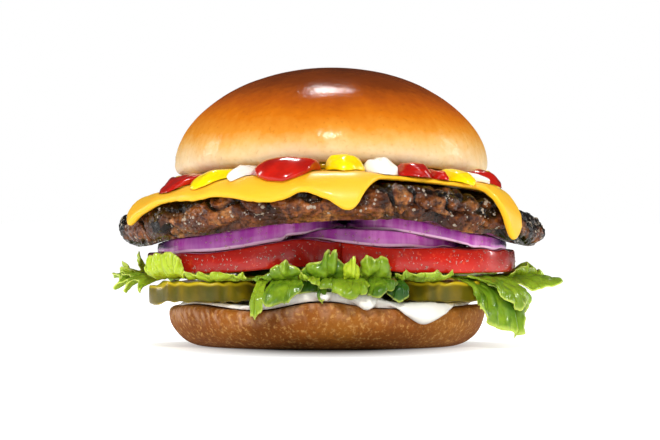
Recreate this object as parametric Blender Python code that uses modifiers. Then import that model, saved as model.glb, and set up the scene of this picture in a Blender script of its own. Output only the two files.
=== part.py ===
"""A cheeseburger, standing on the flat underside of its heel.

Every layer and every separate piece that shows is a closed solid of its own. Lengths in this
script are millimetres, and each mesh is turned into metres when it gets its final shape.
X runs to the right of the burger's front, which faces -Y, and Z is up. The origin is the
middle of the heel's underside. Angles round the stack start at the front and grow to the right.
"""
import math

import bmesh
import bpy
from mathutils import Vector, noise

MM = 0.001
GAP = 0.3

# Heel, the lower half of the bun
HEEL_RADIUS = 52.8
HEEL_SIDE = 12.0
HEEL_SHOULDER = 1.6
HEEL_TOP = 13.4
HEEL_CROWNING = 0.2
HEEL_WAVE = 0.45
HEEL_SWELL = 1.8
HEEL_SWELL_X = -3.0
HEEL_SWELL_WIDTH = 19.0

# Crown, the upper half of the bun
CROWN_X = 1.5
CROWN_RADIUS = 52.3
CROWN_TOP = 93.0
CROWN_WAIST = 66.0
CROWN_RIM = 61.5
CROWN_RIM_INSET = 4.8
CROWN_UNDERSIDE = 62.8

# Patty, and how far it and all above it droop to the left and right and to the front
PATTY_X = 2.0
PATTY_RADIUS = 71.0
PATTY_ROUND = 7.0
PATTY_TOP = 55.8
PATTY_UNDERSIDE = (
    (-70, 32.7), (-64, 32.8), (-59, 33.4), (-52, 35.6), (-41, 37.3), (-29, 39.2), (-17, 41.2),
    (2, 42.6), (20, 43.1), (30, 42.2), (37, 40.4), (45, 38.4), (55, 36.6), (62, 34.2), (73, 32.2))
CRAG_DEPTH = 3.0
END_DROOP = 3.2
DROOP_FROM, DROOP_TO = 52.0, 68.0
SAG_X = 5.0
SIDE_SAG = 0.0021
FRONT_SAG = 0.0002

# Cheese: how far it reaches from the middle along the patty's surface, by angle in degrees
CHEESE_REACH = (
    (-180, 76), (-150, 67), (-128, 77), (-112, 66), (-100, 63), (-88, 62), (-80, 63), (-72, 67),
    (-64, 77), (-56, 72), (-50, 70.5), (-40, 71), (-30, 71), (-20, 73.7), (-13, 73.7), (-8, 71.8),
    (-3, 73.5), (4, 77.2), (8, 72), (11, 68), (15, 65), (20, 63), (34, 63), (43, 64),
    (48, 72), (52.5, 80), (57, 72), (62, 63), (68, 60), (90, 59), (102, 60), (114, 64),
    (128, 77), (150, 67), (180, 76))
CHEESE_THICKNESS = 2.6
CHEESE_THIN = 1.4
THIN_FROM, THIN_TO = 12.0, 47.0

# Sauces on the cheese: kind, angles in degrees, inner and outer reach, height. Where the cheese
# bends down over the patty's rim they need more clearance.
BEND_CLEARANCE = 1.3
SAUCES = (
    ("ketchup", -62, -45, 50, 67, 3.4), ("mustard", -44.5, -32.5, 51, 68, 3.4),
    ("mayo", -32, -24.5, 51, 67, 3.2), ("ketchup", -24, -3.4, 50, 69, 4.3),
    ("mustard", -2.8, 9.6, 51, 65, 4.9), ("mayo", 10.2, 20.6, 51, 64, 5.0),
    ("ketchup", 21.2, 32, 51, 64.5, 4.6), ("ketchup", 32.6, 38, 51, 63.5, 3.2),
    ("mustard", 38.6, 47, 51, 66, 3.4), ("mayo", 47.6, 51.4, 51, 66, 2.6),
    ("ketchup", 52, 62, 51, 65, 3.6), ("mustard", 66, 84, 50, 57, 3.6),
    ("ketchup", 90, 114, 50, 57.5, 4.0), ("mayo", 118, 136, 51, 63, 4.2),
    ("ketchup", 137, 163, 51, 66, 4.4), ("mustard", 164, 186, 51, 68, 4.8),
    ("ketchup", 187, 213, 50, 66, 4.6), ("mayo", 214, 234, 51, 65, 4.4),
    ("mustard", 238, 260, 50, 58, 4.0), ("ketchup", 266, 290, 50, 57, 3.4))

# Onion slices: middle, radius and the heights of their undersides and tops along X
ONION_THICKNESS = 6.0
ONION_LEFT = (-25.0, -9.0, 31.0)
ONION_LEFT_UNDER = (
    (-58, 31.4), (-41, 31.8), (-29, 33.3), (-20, 34.9), (-16, 35.8), (-13.5, 37.15), (-9, 37.95),
    (-5, 38.5), (0, 39.3), (4, 39.8), (7, 39.8))
ONION_UPPER = (32.8, -12.0, 26.5)
ONION_UPPER_UNDER = ((4, 39.7), (12, 39.55), (22, 38.8), (35, 36.6), (47, 34.7), (60, 32.6))
ONION_LOWER = (16.5, -9.0, 29.5)
ONION_LOWER_TOP = (
    (-14, 36.7), (-9, 37.4), (-5, 38.0), (3, 39.3), (12, 39.1), (22, 38.4), (35, 36.2),
    (47, 34.3))

# Tomato slices: middle, radius, and the heights of both faces along X
TOMATO_LEFT = (-21.5, -6.0, 38.0)
TOMATO_RIGHT = (26.5, -6.0, 36.0)
TOMATO_TOP = (
    (-60, 31.0), (-41, 31.4), (-29, 32.9), (-17, 34.9), (-9, 36.0), (7, 34.6), (20, 33.3),
    (40, 33.1), (63, 32.0))
TOMATO_UNDER = (
    (-60, 24.7), (-34, 24.8), (-20, 26.0), (-9, 26.8), (7, 26.6), (18, 25.8), (26, 24.9),
    (63, 24.7))
ONION_CLEARANCE = 0.38
ONION_DENT = 0.7
ONION_END_SPARE = 0.8

# Crinkle-cut pickle slices: middle, radius, and turn in degrees of the line across the ridges
PICKLES = (
    ("pickle_front_left", -39.5, -24.0, 19.0, 6), ("pickle_front_right", 38.0, -22.5, 16.5, -8),
    ("pickle_back_left", -24.0, 25.0, 18.0, 70), ("pickle_back_right", 27.0, 23.0, 18.0, -60))
PICKLE_UNDER = 15.75
PICKLE_TOP = 22.05
CRINKLE_LENGTH = 5.2
CRINKLE_DEPTH = 0.5
CRINKLE_STEPS = 22
PICKLE_BEVEL = 0.5
PICKLE_DROOP = 1.6
PICKLE_CUT = 0.985

# Lettuce: a flat bed, and leaves whose roots lie just above it, in its level or just below
LEAF_THICKNESS = 0.7
ROOT_ABOVE = 24.05
ROOT_BELOW = 23.9
BED_HEIGHT = 22.85
BED_THICKNESS = 0.5
BED_TOP = BED_HEIGHT + BED_THICKNESS
BED_RADIUS = 40.0
BED_FRONT_RADIUS = 35.0

# Mayonnaise on the heel: its thickness under the pickles and how far it reaches by angle
MAYO_THICKNESS = 0.8
MAYO_REACH = (
    (-180, 48), (-150, 50), (-120, 47), (-90, 49), (-62, 49), (-45, 50), (-30, 51.5), (-24, 52),
    (-18, 50), (-8, 50.5), (0, 53), (4, 50.5), (12, 53.5), (16, 53), (19, 51.5), (24, 52),
    (28, 54), (32, 56.2), (35.5, 56.9), (39, 56.2), (44, 54.2), (50, 52.4), (58, 50), (66, 49),
    (90, 48), (120, 51), (150, 48), (180, 48))
SHOULDER_CLEARANCE = 0.8


def clear_objects():
    for obj in list(bpy.data.objects):
        bpy.data.objects.remove(obj, do_unlink=True)


def smooth(start, end, value):
    """0 before start, 1 after end, and a smooth rise between them."""
    part = min(max((value - start) / (end - start), 0.0), 1.0)
    return part * part * (3 - 2 * part)


def through(stations, place):
    """The value at a place on a smooth curve through (place, value) stations."""
    if place <= stations[0][0]:
        return stations[0][1]
    if place >= stations[-1][0]:
        return stations[-1][1]
    i = max(k for k in range(len(stations) - 1) if stations[k][0] <= place)
    (x0, y0), (x1, y1) = stations[i], stations[i + 1]
    before = stations[max(i - 1, 0)]
    after = stations[min(i + 2, len(stations) - 1)]
    slope0 = (y1 - before[1]) / (x1 - before[0])
    slope1 = (after[1] - y0) / (after[0] - x0)
    t = (place - x0) / (x1 - x0)
    width = x1 - x0
    return ((2 * t ** 3 - 3 * t ** 2 + 1) * y0 + (t ** 3 - 2 * t ** 2 + t) * width * slope0
            + (3 * t ** 2 - 2 * t ** 3) * y1 + (t ** 3 - t ** 2) * width * slope1)


def along(points, part):
    """A point on a smooth curve through evenly spaced points, for a part from 0 to 1."""
    span = part * (len(points) - 1)
    i = min(int(span), len(points) - 2)
    t = span - i
    p0, p1, p2, p3 = (points[min(max(k, 0), len(points) - 1)] for k in range(i - 1, i + 3))
    return 0.5 * (2 * p1 + (p2 - p0) * t + (2 * p0 - 5 * p1 + 4 * p2 - p3) * t ** 2
                  + (3 * p1 - p0 - 3 * p2 + p3) * t ** 3)


def arc(middle_r, middle_z, radius_r, radius_z, start, end, count):
    """Points (r, z) on part of an ellipse, with angles in degrees from the outside up."""
    points = []
    for i in range(count + 1):
        angle = math.radians(start + (end - start) * i / count)
        points.append((middle_r + radius_r * math.cos(angle), middle_z + radius_z * math.sin(angle)))
    return points


def front_angle(x, y):
    """Degrees round the stack, from the front to the right."""
    return math.degrees(math.atan2(x, -y))


def material(name, colour, roughness):
    """A Principled material in an sRGB hex colour."""
    existing = bpy.data.materials.get(name)
    if existing:
        return existing
    made = bpy.data.materials.new(name)
    made.use_nodes = True
    shader = made.node_tree.nodes["Principled BSDF"]
    parts = [int(colour[i:i + 2], 16) / 255 for i in (0, 2, 4)]
    linear = [p / 12.92 if p <= 0.04045 else ((p + 0.055) / 1.055) ** 2.4 for p in parts]
    shader.inputs["Base Color"].default_value = (*linear, 1)
    shader.inputs["Roughness"].default_value = roughness
    shader.inputs["Metallic"].default_value = 0.0
    made.diffuse_color = (*linear, 1)
    return made


def added(name, mesh, finish):
    """The named object of a mesh, in the burger's collection, with its finish."""
    obj = bpy.data.objects.new(name, mesh)
    mesh.name = name
    mesh.materials.clear()
    mesh.materials.append(finish)
    bpy.data.collections["cheeseburger"].objects.link(obj)
    return obj


def turned_mesh(profile, steps):
    """A profile of (r, z) points, turned round Z by a Screw modifier, as a plain mesh."""
    outline = bpy.data.meshes.new("profile")
    edges = [(i, i + 1) for i in range(len(profile) - 1)]
    outline.from_pydata([(r, 0, z) for r, z in profile], edges, [])
    turning = bpy.data.objects.new("profile", outline)
    bpy.data.collections["cheeseburger"].objects.link(turning)
    screw = turning.modifiers.new("turn", 'SCREW')
    screw.steps = screw.render_steps = steps
    screw.use_merge_vertices = True
    screw.merge_threshold = 0.0001
    mesh = bpy.data.meshes.new_from_object(turning.evaluated_get(bpy.context.evaluated_depsgraph_get()))
    bpy.data.objects.remove(turning)
    bpy.data.meshes.remove(outline)
    body = bmesh.new()
    body.from_mesh(mesh)
    bmesh.ops.remove_doubles(body, verts=body.verts, dist=0.0001)
    body.to_mesh(mesh)
    body.free()
    return mesh


def shaped(name, mesh, move, finish):
    """Give each vertex its place, worked out in millimetres, and turn the mesh into metres."""
    for vertex in mesh.vertices:
        vertex.co = Vector(move(*vertex.co)) * MM
    mesh.shade_smooth()
    return added(name, mesh, finish)


def turned(name, profile, steps, move, finish):
    """A turned solid whose points are then moved."""
    return shaped(name, turned_mesh(profile, steps), move, finish)


def lofted(name, sections, finish):
    """A closed solid through rings of points with equal counts, capped at both ends."""
    count = len(sections[0])
    vertices = [Vector(point) * MM for ring in sections for point in ring]
    faces = [tuple(range(count))[::-1], tuple(range(len(vertices) - count, len(vertices)))]
    for row in range(len(sections) - 1):
        for i in range(count):
            j = (i + 1) % count
            a, b = row * count + i, row * count + j
            faces.append((a, b, b + count, a + count))
    mesh = bpy.data.meshes.new(name)
    mesh.from_pydata(vertices, [], faces)
    mesh.shade_smooth()
    mesh.set_sharp_from_angle(angle=math.radians(45))
    return added(name, mesh, finish)


def sag(x, y):
    """How far the patty's top and all that lies on it droop at a place. The right end droops most,
    as the tomato below it ends first."""
    end = END_DROOP * smooth(DROOP_FROM, DROOP_TO, x)
    return SIDE_SAG * (x - SAG_X) ** 2 + FRONT_SAG * y * y + end


def heel_swell(x, y):
    """Between the pickles in front, nothing presses the heel down and it swells up."""
    beside = abs(x - HEEL_SWELL_X)
    return HEEL_SWELL * (1 - smooth(0, HEEL_SWELL_WIDTH, beside)) * smooth(20, 48, -y)


def heel_wave(x, y):
    """The uneven height of the heel's cut face, which grows towards its rim."""
    angle = math.radians(front_angle(x, y))
    wave = math.sin(5 * angle + 0.8) + 0.6 * math.sin(7 * angle + 2.1)
    return HEEL_WAVE * wave * smooth(15, 50, math.hypot(x, y)) + heel_swell(x, y)


def heel_top(x, y):
    """Height of the heel's cut face inside its shoulder."""
    r = math.hypot(x, y)
    return HEEL_TOP + HEEL_CROWNING * (1 - smooth(0, HEEL_RADIUS, r)) + heel_wave(x, y)


def build_heel():
    """A flat base, a side that curves in under itself and a soft shoulder at the cut face."""
    shoulder_r = HEEL_RADIUS - HEEL_SHOULDER
    shoulder_z = HEEL_TOP - HEEL_SHOULDER
    profile = [(0, HEEL_TOP + HEEL_CROWNING), (26, HEEL_TOP + 0.5 * HEEL_CROWNING), (44, HEEL_TOP)]
    profile += arc(shoulder_r, shoulder_z, HEEL_SHOULDER, HEEL_SHOULDER, 90, 0, 2)
    profile += arc(HEEL_RADIUS - HEEL_SIDE, HEEL_SIDE, HEEL_SIDE, HEEL_SIDE, -8, -90, 6)
    profile.append((0, 0))

    def move(x, y, z):
        lift = heel_wave(x, y) * smooth(4, shoulder_z, z)
        return x, y, z + lift

    turned("heel", profile, 40, move, material("heel_crust", "b06a2c", 0.75))


def crown_sag(x, y):
    """How far the crown droops with the layers below it."""
    return SIDE_SAG * (x - CROWN_X) ** 2 + FRONT_SAG * y * y


def crown_underside(x, y):
    """Height of the crown's lower surface at a place under or just outside it."""
    r = math.hypot(x - CROWN_X, y)
    flat_r = CROWN_RADIUS - CROWN_RIM_INSET
    if r <= flat_r:
        level = CROWN_UNDERSIDE + (CROWN_RIM - CROWN_UNDERSIDE) * (r / flat_r) ** 2
    elif r < CROWN_RADIUS:
        drop = math.sqrt(1 - ((r - flat_r) / CROWN_RIM_INSET) ** 2)
        level = CROWN_WAIST - (CROWN_WAIST - CROWN_RIM) * drop
    else:
        level = CROWN_WAIST + 3
    return level - crown_sag(x, y)


def build_crown():
    """A dome with a rolled rim and a slightly hollow underside."""
    flat_r = CROWN_RADIUS - CROWN_RIM_INSET
    dome = arc(0, CROWN_WAIST, CROWN_RADIUS, CROWN_TOP - CROWN_WAIST, 90, 0, 9)
    rim = arc(flat_r, CROWN_WAIST, CROWN_RIM_INSET, CROWN_WAIST - CROWN_RIM, 0, -90, 3)[1:]
    inner = [(r, CROWN_UNDERSIDE + (CROWN_RIM - CROWN_UNDERSIDE) * (r / flat_r) ** 2) for r in (30, 0)]

    def move(x, y, z):
        return x + CROWN_X, y, z - crown_sag(x + CROWN_X, y)

    turned("crown", dome + rim + inner, 36, move, material("crown_crust", "c8791f", 0.35))


def patty_top(x, y):
    """Height of the patty's upper side inside its round rim."""
    return PATTY_TOP - sag(x, y)


def patty_under(x, y):
    """Height of the patty's underside, which follows the onion and the tomato."""
    return through(PATTY_UNDERSIDE, x) - FRONT_SAG * y * y


def build_patty():
    """A pressed disc with a round rim, bent over what it lies on, with crags cut into it."""
    flat_r = PATTY_RADIUS - PATTY_ROUND
    profile = [(0, 1), (28, 1), (50, 1)] + arc(flat_r, 0.5, PATTY_ROUND, 0.5, 90, -90, 7)
    profile += [(50, 0), (34, 0), (18, 0), (0, 0)]

    def move(x, y, height):
        r = math.hypot(x, y)
        x += PATTY_X
        under, top = patty_under(x, y), patty_top(x, y)
        z = under + height * (top - under)
        place = Vector((x, y, z * 1.3))
        rough = abs(noise.noise(place / 9)) + 0.7 * abs(noise.noise(place / 4.5 + Vector((9, 2, 5))))
        crag = CRAG_DEPTH * (0.15 + rough)
        inward = crag * smooth(45, flat_r + 3, r)
        keep = 1 - inward / max(r, 1)
        sink = 0.2 * crag * (1 - 2 * height) * smooth(20, 50, r) * smooth(0.2, 0.5, abs(height - 0.5))
        return PATTY_X + (x - PATTY_X) * keep, y * keep, z + sink

    turned("patty", profile, 60, move, material("beef", "5a3420", 0.55))


def over_patty(reach, angle, offset):
    """A point at an offset from the patty's smooth envelope, reached by going from the middle
    along its top, round its rim and down its side."""
    flat_r = PATTY_RADIUS - PATTY_ROUND
    bend = PATTY_ROUND
    a = math.radians(angle)
    if reach <= flat_r:
        r, drop = reach, -offset
    else:
        turn = min((reach - flat_r) / bend, math.pi / 2)
        r = flat_r + (bend + offset) * math.sin(turn)
        drop = bend - (bend + offset) * math.cos(turn)
        drop += max(reach - flat_r - bend * math.pi / 2, 0)
    base_r = min(r, PATTY_RADIUS)
    base_x, base_y = PATTY_X + base_r * math.sin(a), -base_r * math.cos(a)
    return (PATTY_X + r * math.sin(a), -r * math.cos(a), patty_top(base_x, base_y) - drop)


def cheese_thickness(angle):
    thin = smooth(THIN_FROM - 6, THIN_FROM + 4, angle) * (1 - smooth(THIN_TO - 4, THIN_TO + 3, angle))
    return CHEESE_THICKNESS + (CHEESE_THIN - CHEESE_THICKNESS) * thin


def cheese_lift(reach):
    """Clearance that the cheese needs over the patty's flats and round its rim."""
    return 0.6 * (1 - smooth(45, 58, reach)) + 1.4 * smooth(58, 66, reach)


def gathered(angle, toward, amount):
    """An angle moved so that evenly spaced ones come closer together round one of them."""
    return angle - amount * math.sin(math.radians(angle - toward))


def sheet_profile(rings):
    """The section of a thin disc of radius 1 and height 1 with a rounded edge."""
    edge = rings[-1]
    nose = [(edge + (1 - edge) * 0.8, 0.85), (1, 0.5), (edge + (1 - edge) * 0.8, 0.15)]
    return [(r, 1) for r in rings] + nose + [(r, 0) for r in reversed(rings)]


def build_cheese():
    """A melted slice that lies on the patty and hangs over its rim at the corners."""
    def move(x, y, height):
        angle = gathered(front_angle(x, y), 0, 20)
        part = math.hypot(x, y)
        thinning = (CHEESE_THICKNESS - cheese_thickness(angle)) * smooth(0.3, 0.8, part)
        reach = part * through(CHEESE_REACH, angle)
        offset = GAP + cheese_lift(reach) + height * (CHEESE_THICKNESS - thinning)
        return over_patty(reach, angle, offset)

    turned("cheese", sheet_profile((0, 0.5, 0.8, 0.88, 0.95)), 58, move,
           material("cheese", "f4b52a", 0.35))


def build_sauces():
    """Blobs that lie on the cheese in a row all round, under and in front of the crown's rim."""
    looks = {"ketchup": ("b3160f", 0.2), "mustard": ("f2d400", 0.25), "mayo": ("f4f1e6", 0.3)}
    counts = dict.fromkeys(looks, 0)
    for kind, start, end, inner, outer, height in SAUCES:
        counts[kind] += 1
        body = bmesh.new()
        bmesh.ops.create_uvsphere(body, u_segments=10, v_segments=5, radius=1.0)
        mesh = bpy.data.meshes.new(kind)
        body.to_mesh(mesh)
        body.free()

        def move(a, b, c, start=start, end=end, inner=inner, outer=outer, height=height):
            angle = (start + end) / 2 + a * (end - start) / 2
            wrapped = (angle + 180) % 360 - 180
            reach = (inner + outer) / 2 - b * (outer - inner) / 2
            cheese_surface = GAP + cheese_lift(reach) + cheese_thickness(wrapped)
            near_ends = smooth(58, 65, reach) + 0.4 * (1 - smooth(52, 60, reach))
            floor = cheese_surface + 2 * GAP + BEND_CLEARANCE * near_ends
            x, y, z = over_patty(reach, angle, floor + max(c, 0) * height)
            ceiling = crown_underside(x, y) - GAP
            lowest = over_patty(reach, angle, floor)[2]
            if z > ceiling and c > 0:
                z = max(ceiling, lowest + 0.4 * c)
            return x, y, z

        shaped(f"{kind}_{counts[kind]}", mesh, move, material(kind, *looks[kind]))


def slice_profile(radius, bulge):
    """The section of a slice of height 1 whose side bulges outwards."""
    rings = (0.0, 0.55 * radius, radius - 0.6)
    side = [(radius + bulge, 0.75), (radius + bulge, 0.25)]
    return [(r, 1) for r in rings] + side + [(r, 0) for r in reversed(rings)]


def slab(name, middle, under, top, steps, finish):
    """A round slice between two curved heights, each a function of the place."""
    mid_x, mid_y, radius = middle

    def move(x, y, height):
        x, y = x + mid_x, y + mid_y
        low = under(x, y)
        return x, y, low + height * (max(top(x, y), low + 0.8) - low)

    return turned(name, slice_profile(radius - 0.5, 0.5), steps, move, finish)


def tomato_top(x, y):
    return through(TOMATO_TOP, x)


def tomato_under(x, y):
    return through(TOMATO_UNDER, x)


def build_tomatoes():
    """Two slices side by side. The right one is cut to fit round the edge of the left one."""
    finish = material("tomato", "c4221a", 0.25)
    slab("tomato_left", TOMATO_LEFT, tomato_under, tomato_top, 30, finish)
    right = slab("tomato_right", TOMATO_RIGHT, tomato_under, tomato_top, 30, finish)
    bpy.ops.mesh.primitive_cylinder_add(
        vertices=72, radius=(TOMATO_LEFT[2] + GAP) * MM, depth=0.03,
        location=(TOMATO_LEFT[0] * MM, TOMATO_LEFT[1] * MM, 0.028))
    cutter = bpy.context.object
    cutter.name = "tomato_cutter"
    cutter.display_type = 'WIRE'
    cutter.hide_render = True
    for collection in list(cutter.users_collection):
        collection.objects.unlink(cutter)
    bpy.data.collections["cutters"].objects.link(cutter)
    cut = right.modifiers.new("fit", 'BOOLEAN')
    cut.operation = 'DIFFERENCE'
    cut.object = cutter


def build_onions():
    """Three slices: two lie over the third, and the patty rests on them. All of them are thinner
    inside, where their few large faces would touch what lies above and below."""
    finish = material("onion", "8d3a90", 0.25)

    def slice_between(name, onion, under, top):
        mid_x, mid_y, radius = onion

        def dent(x, y):
            from_middle = math.hypot(x - mid_x, y - mid_y) / radius
            return ONION_DENT * (1 - smooth(0.7, 0.95, from_middle))

        def upper(x, y):
            spare = ONION_CLEARANCE + ONION_END_SPARE * smooth(43, 51, abs(x))
            return min(top(x, y), patty_under(x, y) - spare) - dent(x, y)

        slab(name, onion, lambda x, y: under(x, y) + 0.6 * dent(x, y), upper, 24, finish)

    def left_under(x, y):
        return through(ONION_LEFT_UNDER, x)

    def upper_under(x, y):
        return through(ONION_UPPER_UNDER, x)

    slice_between("onion_left", ONION_LEFT, left_under,
                  lambda x, y: left_under(x, y) + ONION_THICKNESS)
    slice_between("onion_upper", ONION_UPPER, upper_under,
                  lambda x, y: upper_under(x, y) + 0.85 * ONION_THICKNESS)
    slice_between("onion_lower", ONION_LOWER, lambda x, y: tomato_top(x, y) + ONION_CLEARANCE,
                  lambda x, y: through(ONION_LOWER_TOP, x))


def build_pickles():
    """Crinkle-cut slices, lofted through sections across the ridges."""
    finish = material("pickle", "7c7418", 0.3)
    for name, mid_x, mid_y, radius, turn in PICKLES:
        sections = []
        for i in range(CRINKLE_STEPS + 1):
            across = PICKLE_CUT * (2 * i / CRINKLE_STEPS - 1)
            half = radius * math.sqrt(1 - across ** 2)
            wave = CRINKLE_DEPTH * math.sin(2 * math.pi * across * radius / CRINKLE_LENGTH)
            low, high = PICKLE_UNDER + wave, PICKLE_TOP + wave
            mid = (low + high) / 2
            ring = []
            flat = half - PICKLE_BEVEL
            for side, z in ((-flat, low), (flat, low), (half, mid), (flat, high), (-flat, high),
                            (-half, mid)):
                a = math.radians(turn)
                px, py = across * radius, side
                x = mid_x + px * math.cos(a) - py * math.sin(a)
                y = mid_y + px * math.sin(a) + py * math.cos(a)
                ring.append((x, y, z - PICKLE_DROOP * smooth(51, 60, abs(x))))
            sections.append(ring)
        lofted(name, sections, finish)


def over_heel(reach, angle, offset):
    """A point at an offset from the heel's surface, going over its shoulder and down its side."""
    flat_r = HEEL_RADIUS - HEEL_SHOULDER
    a = math.radians(angle)
    quarter = HEEL_SHOULDER * math.pi / 2
    if reach <= flat_r:
        r, z = reach, None
    else:
        turn = min((reach - flat_r) / HEEL_SHOULDER, math.pi / 2)
        down = max(reach - flat_r - quarter, 0)
        offset += SHOULDER_CLEARANCE
        r = flat_r + (HEEL_SHOULDER + offset) * math.sin(turn)
        z = HEEL_TOP - HEEL_SHOULDER + (HEEL_SHOULDER + offset) * math.cos(turn) - down
        r -= HEEL_SIDE * (1 - math.sqrt(1 - (min(down, HEEL_SIDE) / HEEL_SIDE) ** 2))
    x, y = r * math.sin(a), -r * math.cos(a)
    base = min(r, HEEL_RADIUS)
    wave = heel_wave(base * math.sin(a), -base * math.cos(a))
    if z is None:
        return x, y, heel_top(x, y) + offset
    return x, y, z + wave


def mayo_height(x, y):
    """Thin under the pickles, and thick in the gap between them and in its drips."""
    middle = 1 - smooth(16, 24, abs(x + 1))
    front = 1 - smooth(-30, -12, y)
    back = smooth(30, 42, y) * 0.5
    return MAYO_THICKNESS + 2.6 * middle * front + 1.6 * middle * back


def build_mayo():
    """A pool of mayonnaise on the heel, with drips over its front edge."""
    def move(x, y, height):
        angle = (gathered(front_angle(x, y), 36, 30) + 180) % 360 - 180
        part = math.hypot(x, y)
        edge = through(MAYO_REACH, angle)
        shoulder = HEEL_RADIUS - HEEL_SHOULDER
        quarter = HEEL_SHOULDER * math.pi / 2
        steps = ((0, 0), (0.8, min(shoulder, edge - 2)),
                 (0.85, min(shoulder + quarter / 2, edge - 1.5)),
                 (0.9, min(shoulder + quarter, edge - 1)), (1.0, edge))
        i = max(k for k in range(len(steps) - 1) if steps[k][0] <= part + 1e-6)
        (p0, r0), (p1, r1) = steps[i], steps[i + 1]
        reach = r0 + (r1 - r0) * (part - p0) / (p1 - p0)
        x0, y0, z0 = over_heel(reach, angle, GAP)
        clearance = GAP + 0.35 * heel_swell(x0, y0)
        z0 += clearance - GAP
        thickness = mayo_height(x0, y0) + 1.5 * smooth(51, 54, reach)
        x, y, z = over_heel(reach, angle, clearance + height * thickness)
        pickle_above = min(math.hypot(x - mx, y - my) - r for _, mx, my, r, _ in PICKLES)
        ceiling = PICKLE_UNDER - CRINKLE_DEPTH - GAP + 4 * smooth(0.5, 3.5, pickle_above)
        return x, y, max(min(z, ceiling), z0 + 0.3 * height)

    turned("mayo_pool", sheet_profile((0, 0.5, 0.8, 0.85, 0.9, 0.96)), 40, move,
           material("mayo", "f4f1e6", 0.3))


def leaf_finish():
    return material("lettuce", "7db32c", 0.4)


def build_lettuce_bed():
    """A leaf between the pickles and the tomato, which all the others lie against. It is folded
    up in the middle, where it fills the space under the tomato."""
    profile = [(0, 1), (0.68, 1), (0.8, 1), (1, 1), (1, 0), (0, 0)]

    def move(x, y, height):
        angle = front_angle(x, y)
        front = 1 - smooth(27, 36, abs(angle))
        radius = BED_RADIUS + (BED_FRONT_RADIUS - BED_RADIUS) * front
        radius += 1.2 * math.sin(math.radians(angle) * 7)
        x, y = x * radius, y * radius
        heap = (tomato_under(x, y) - BED_TOP - ONION_CLEARANCE) * (1 - smooth(27, 32, math.hypot(x, y)))
        return x, y, BED_HEIGHT + height * (BED_THICKNESS + heap)

    turned("lettuce_bed", profile, 26, move, leaf_finish())


def leaf(name, rows, waves, ruffle, toward, divisions, thickness=LEAF_THICKNESS):
    """A thin wavy leaf through rows of points, from its hidden root to its frilled edge.

    The ruffle grows towards the edge, with a number of waves along it, in one direction."""
    across, out = divisions
    body = bmesh.new()
    bmesh.ops.create_grid(body, x_segments=across, y_segments=out, size=1.0)
    mesh = bpy.data.meshes.new(name)
    body.to_mesh(mesh)
    body.free()
    rows = [[Vector(point) for point in row] for row in rows]
    toward = Vector(toward)

    def move(a, b, _):
        u, v = (a + 1) / 2, (b + 1) / 2
        place = along([along(row, u) for row in rows], v)
        wave = math.sin(2 * math.pi * waves * u) + 0.5 * math.sin(2 * math.pi * waves * 1.7 * u + 1.3)
        return place + toward * (ruffle * v ** 2.5 * wave)

    obj = shaped(name, mesh, move, leaf_finish())
    obj.modifiers.new("split", 'TRIANGULATE')
    solid = obj.modifiers.new("thickness", 'SOLIDIFY')
    solid.thickness = thickness * MM
    solid.offset = 0.0
    return obj


def build_side_leaves():
    """The leaves that stick out to the left and right of the stack."""
    leaf("lettuce_left", (
        ((-44, -14, ROOT_ABOVE), (-44, -4, ROOT_ABOVE), (-44, 5, ROOT_ABOVE), (-43, 12, ROOT_ABOVE)),
        ((-58, -15, 23.8), (-60, -4, 23.6), (-59, 6, 23.7), (-55, 14, 24.0)),
        ((-64, -24, 20.5), (-66, -6, 22.5), (-65, 7, 26.5), (-61, 19, 27.5)),
        ((-62, -27, 17.8), (-70.5, -9, 21.4), (-66.5, 8, 29.5), (-62, 22, 31.0))),
        5, 1.1, (-0.3, 0.0, 1.0), (14, 6))
    leaf("lettuce_rib", (
        ((-55, -21, ROOT_ABOVE), (-51, -25, ROOT_ABOVE), (-47, -28, ROOT_ABOVE)),
        ((-61, -24, 24.6), (-55, -31, 24.0), (-49, -35, 23.9)),
        ((-61, -25, 28.0), (-56, -32.5, 28.5), (-49.5, -37.5, 27.5)),
        ((-60, -26, 30.5), (-55, -33, 31.2), (-50, -38, 29.6))),
        2, 0.4, (-0.5, -0.7, 0.0), (6, 5), 1.0)
    leaf("lettuce_right_upper", (
        ((46, -12, ROOT_ABOVE), (48, -6, ROOT_ABOVE), (48, 2, ROOT_ABOVE), (46, 9, ROOT_ABOVE)),
        ((63, -15, 24.1), (64, -8, 24.1), (65, 1, 24.1), (62, 12, 24.1)),
        ((67, -25, 23.6), (69, -17, 22.6), (73, -3, 23.2), (67, 14, 25.8)),
        ((60, -33, 25.4), (69, -28, 22.0), (78, -10, 20.8), (67, 17, 28.4))),
        5, 1.3, (0.2, 0.0, 1.0), (18, 5))
    leaf("lettuce_right_lower", (
        ((40, -33, ROOT_BELOW), (45, -29, ROOT_BELOW), (49, -24, ROOT_BELOW), (51, -18, ROOT_BELOW)),
        ((46, -41, 23.6), (54, -35, 23.6), (59.5, -28, 23.6), (61.5, -20, 23.6)),
        ((49, -44, 18.5), (58, -38, 15.5), (64, -29, 14.0), (66.5, -18, 16.0)),
        ((50, -42, 11.0), (57.5, -37, 6.0), (62.5, -29, 2.8), (69.5, -14, 13.0))),
        4, 0.8, (0.6, -0.6, 0.2), (16, 6))


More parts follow.
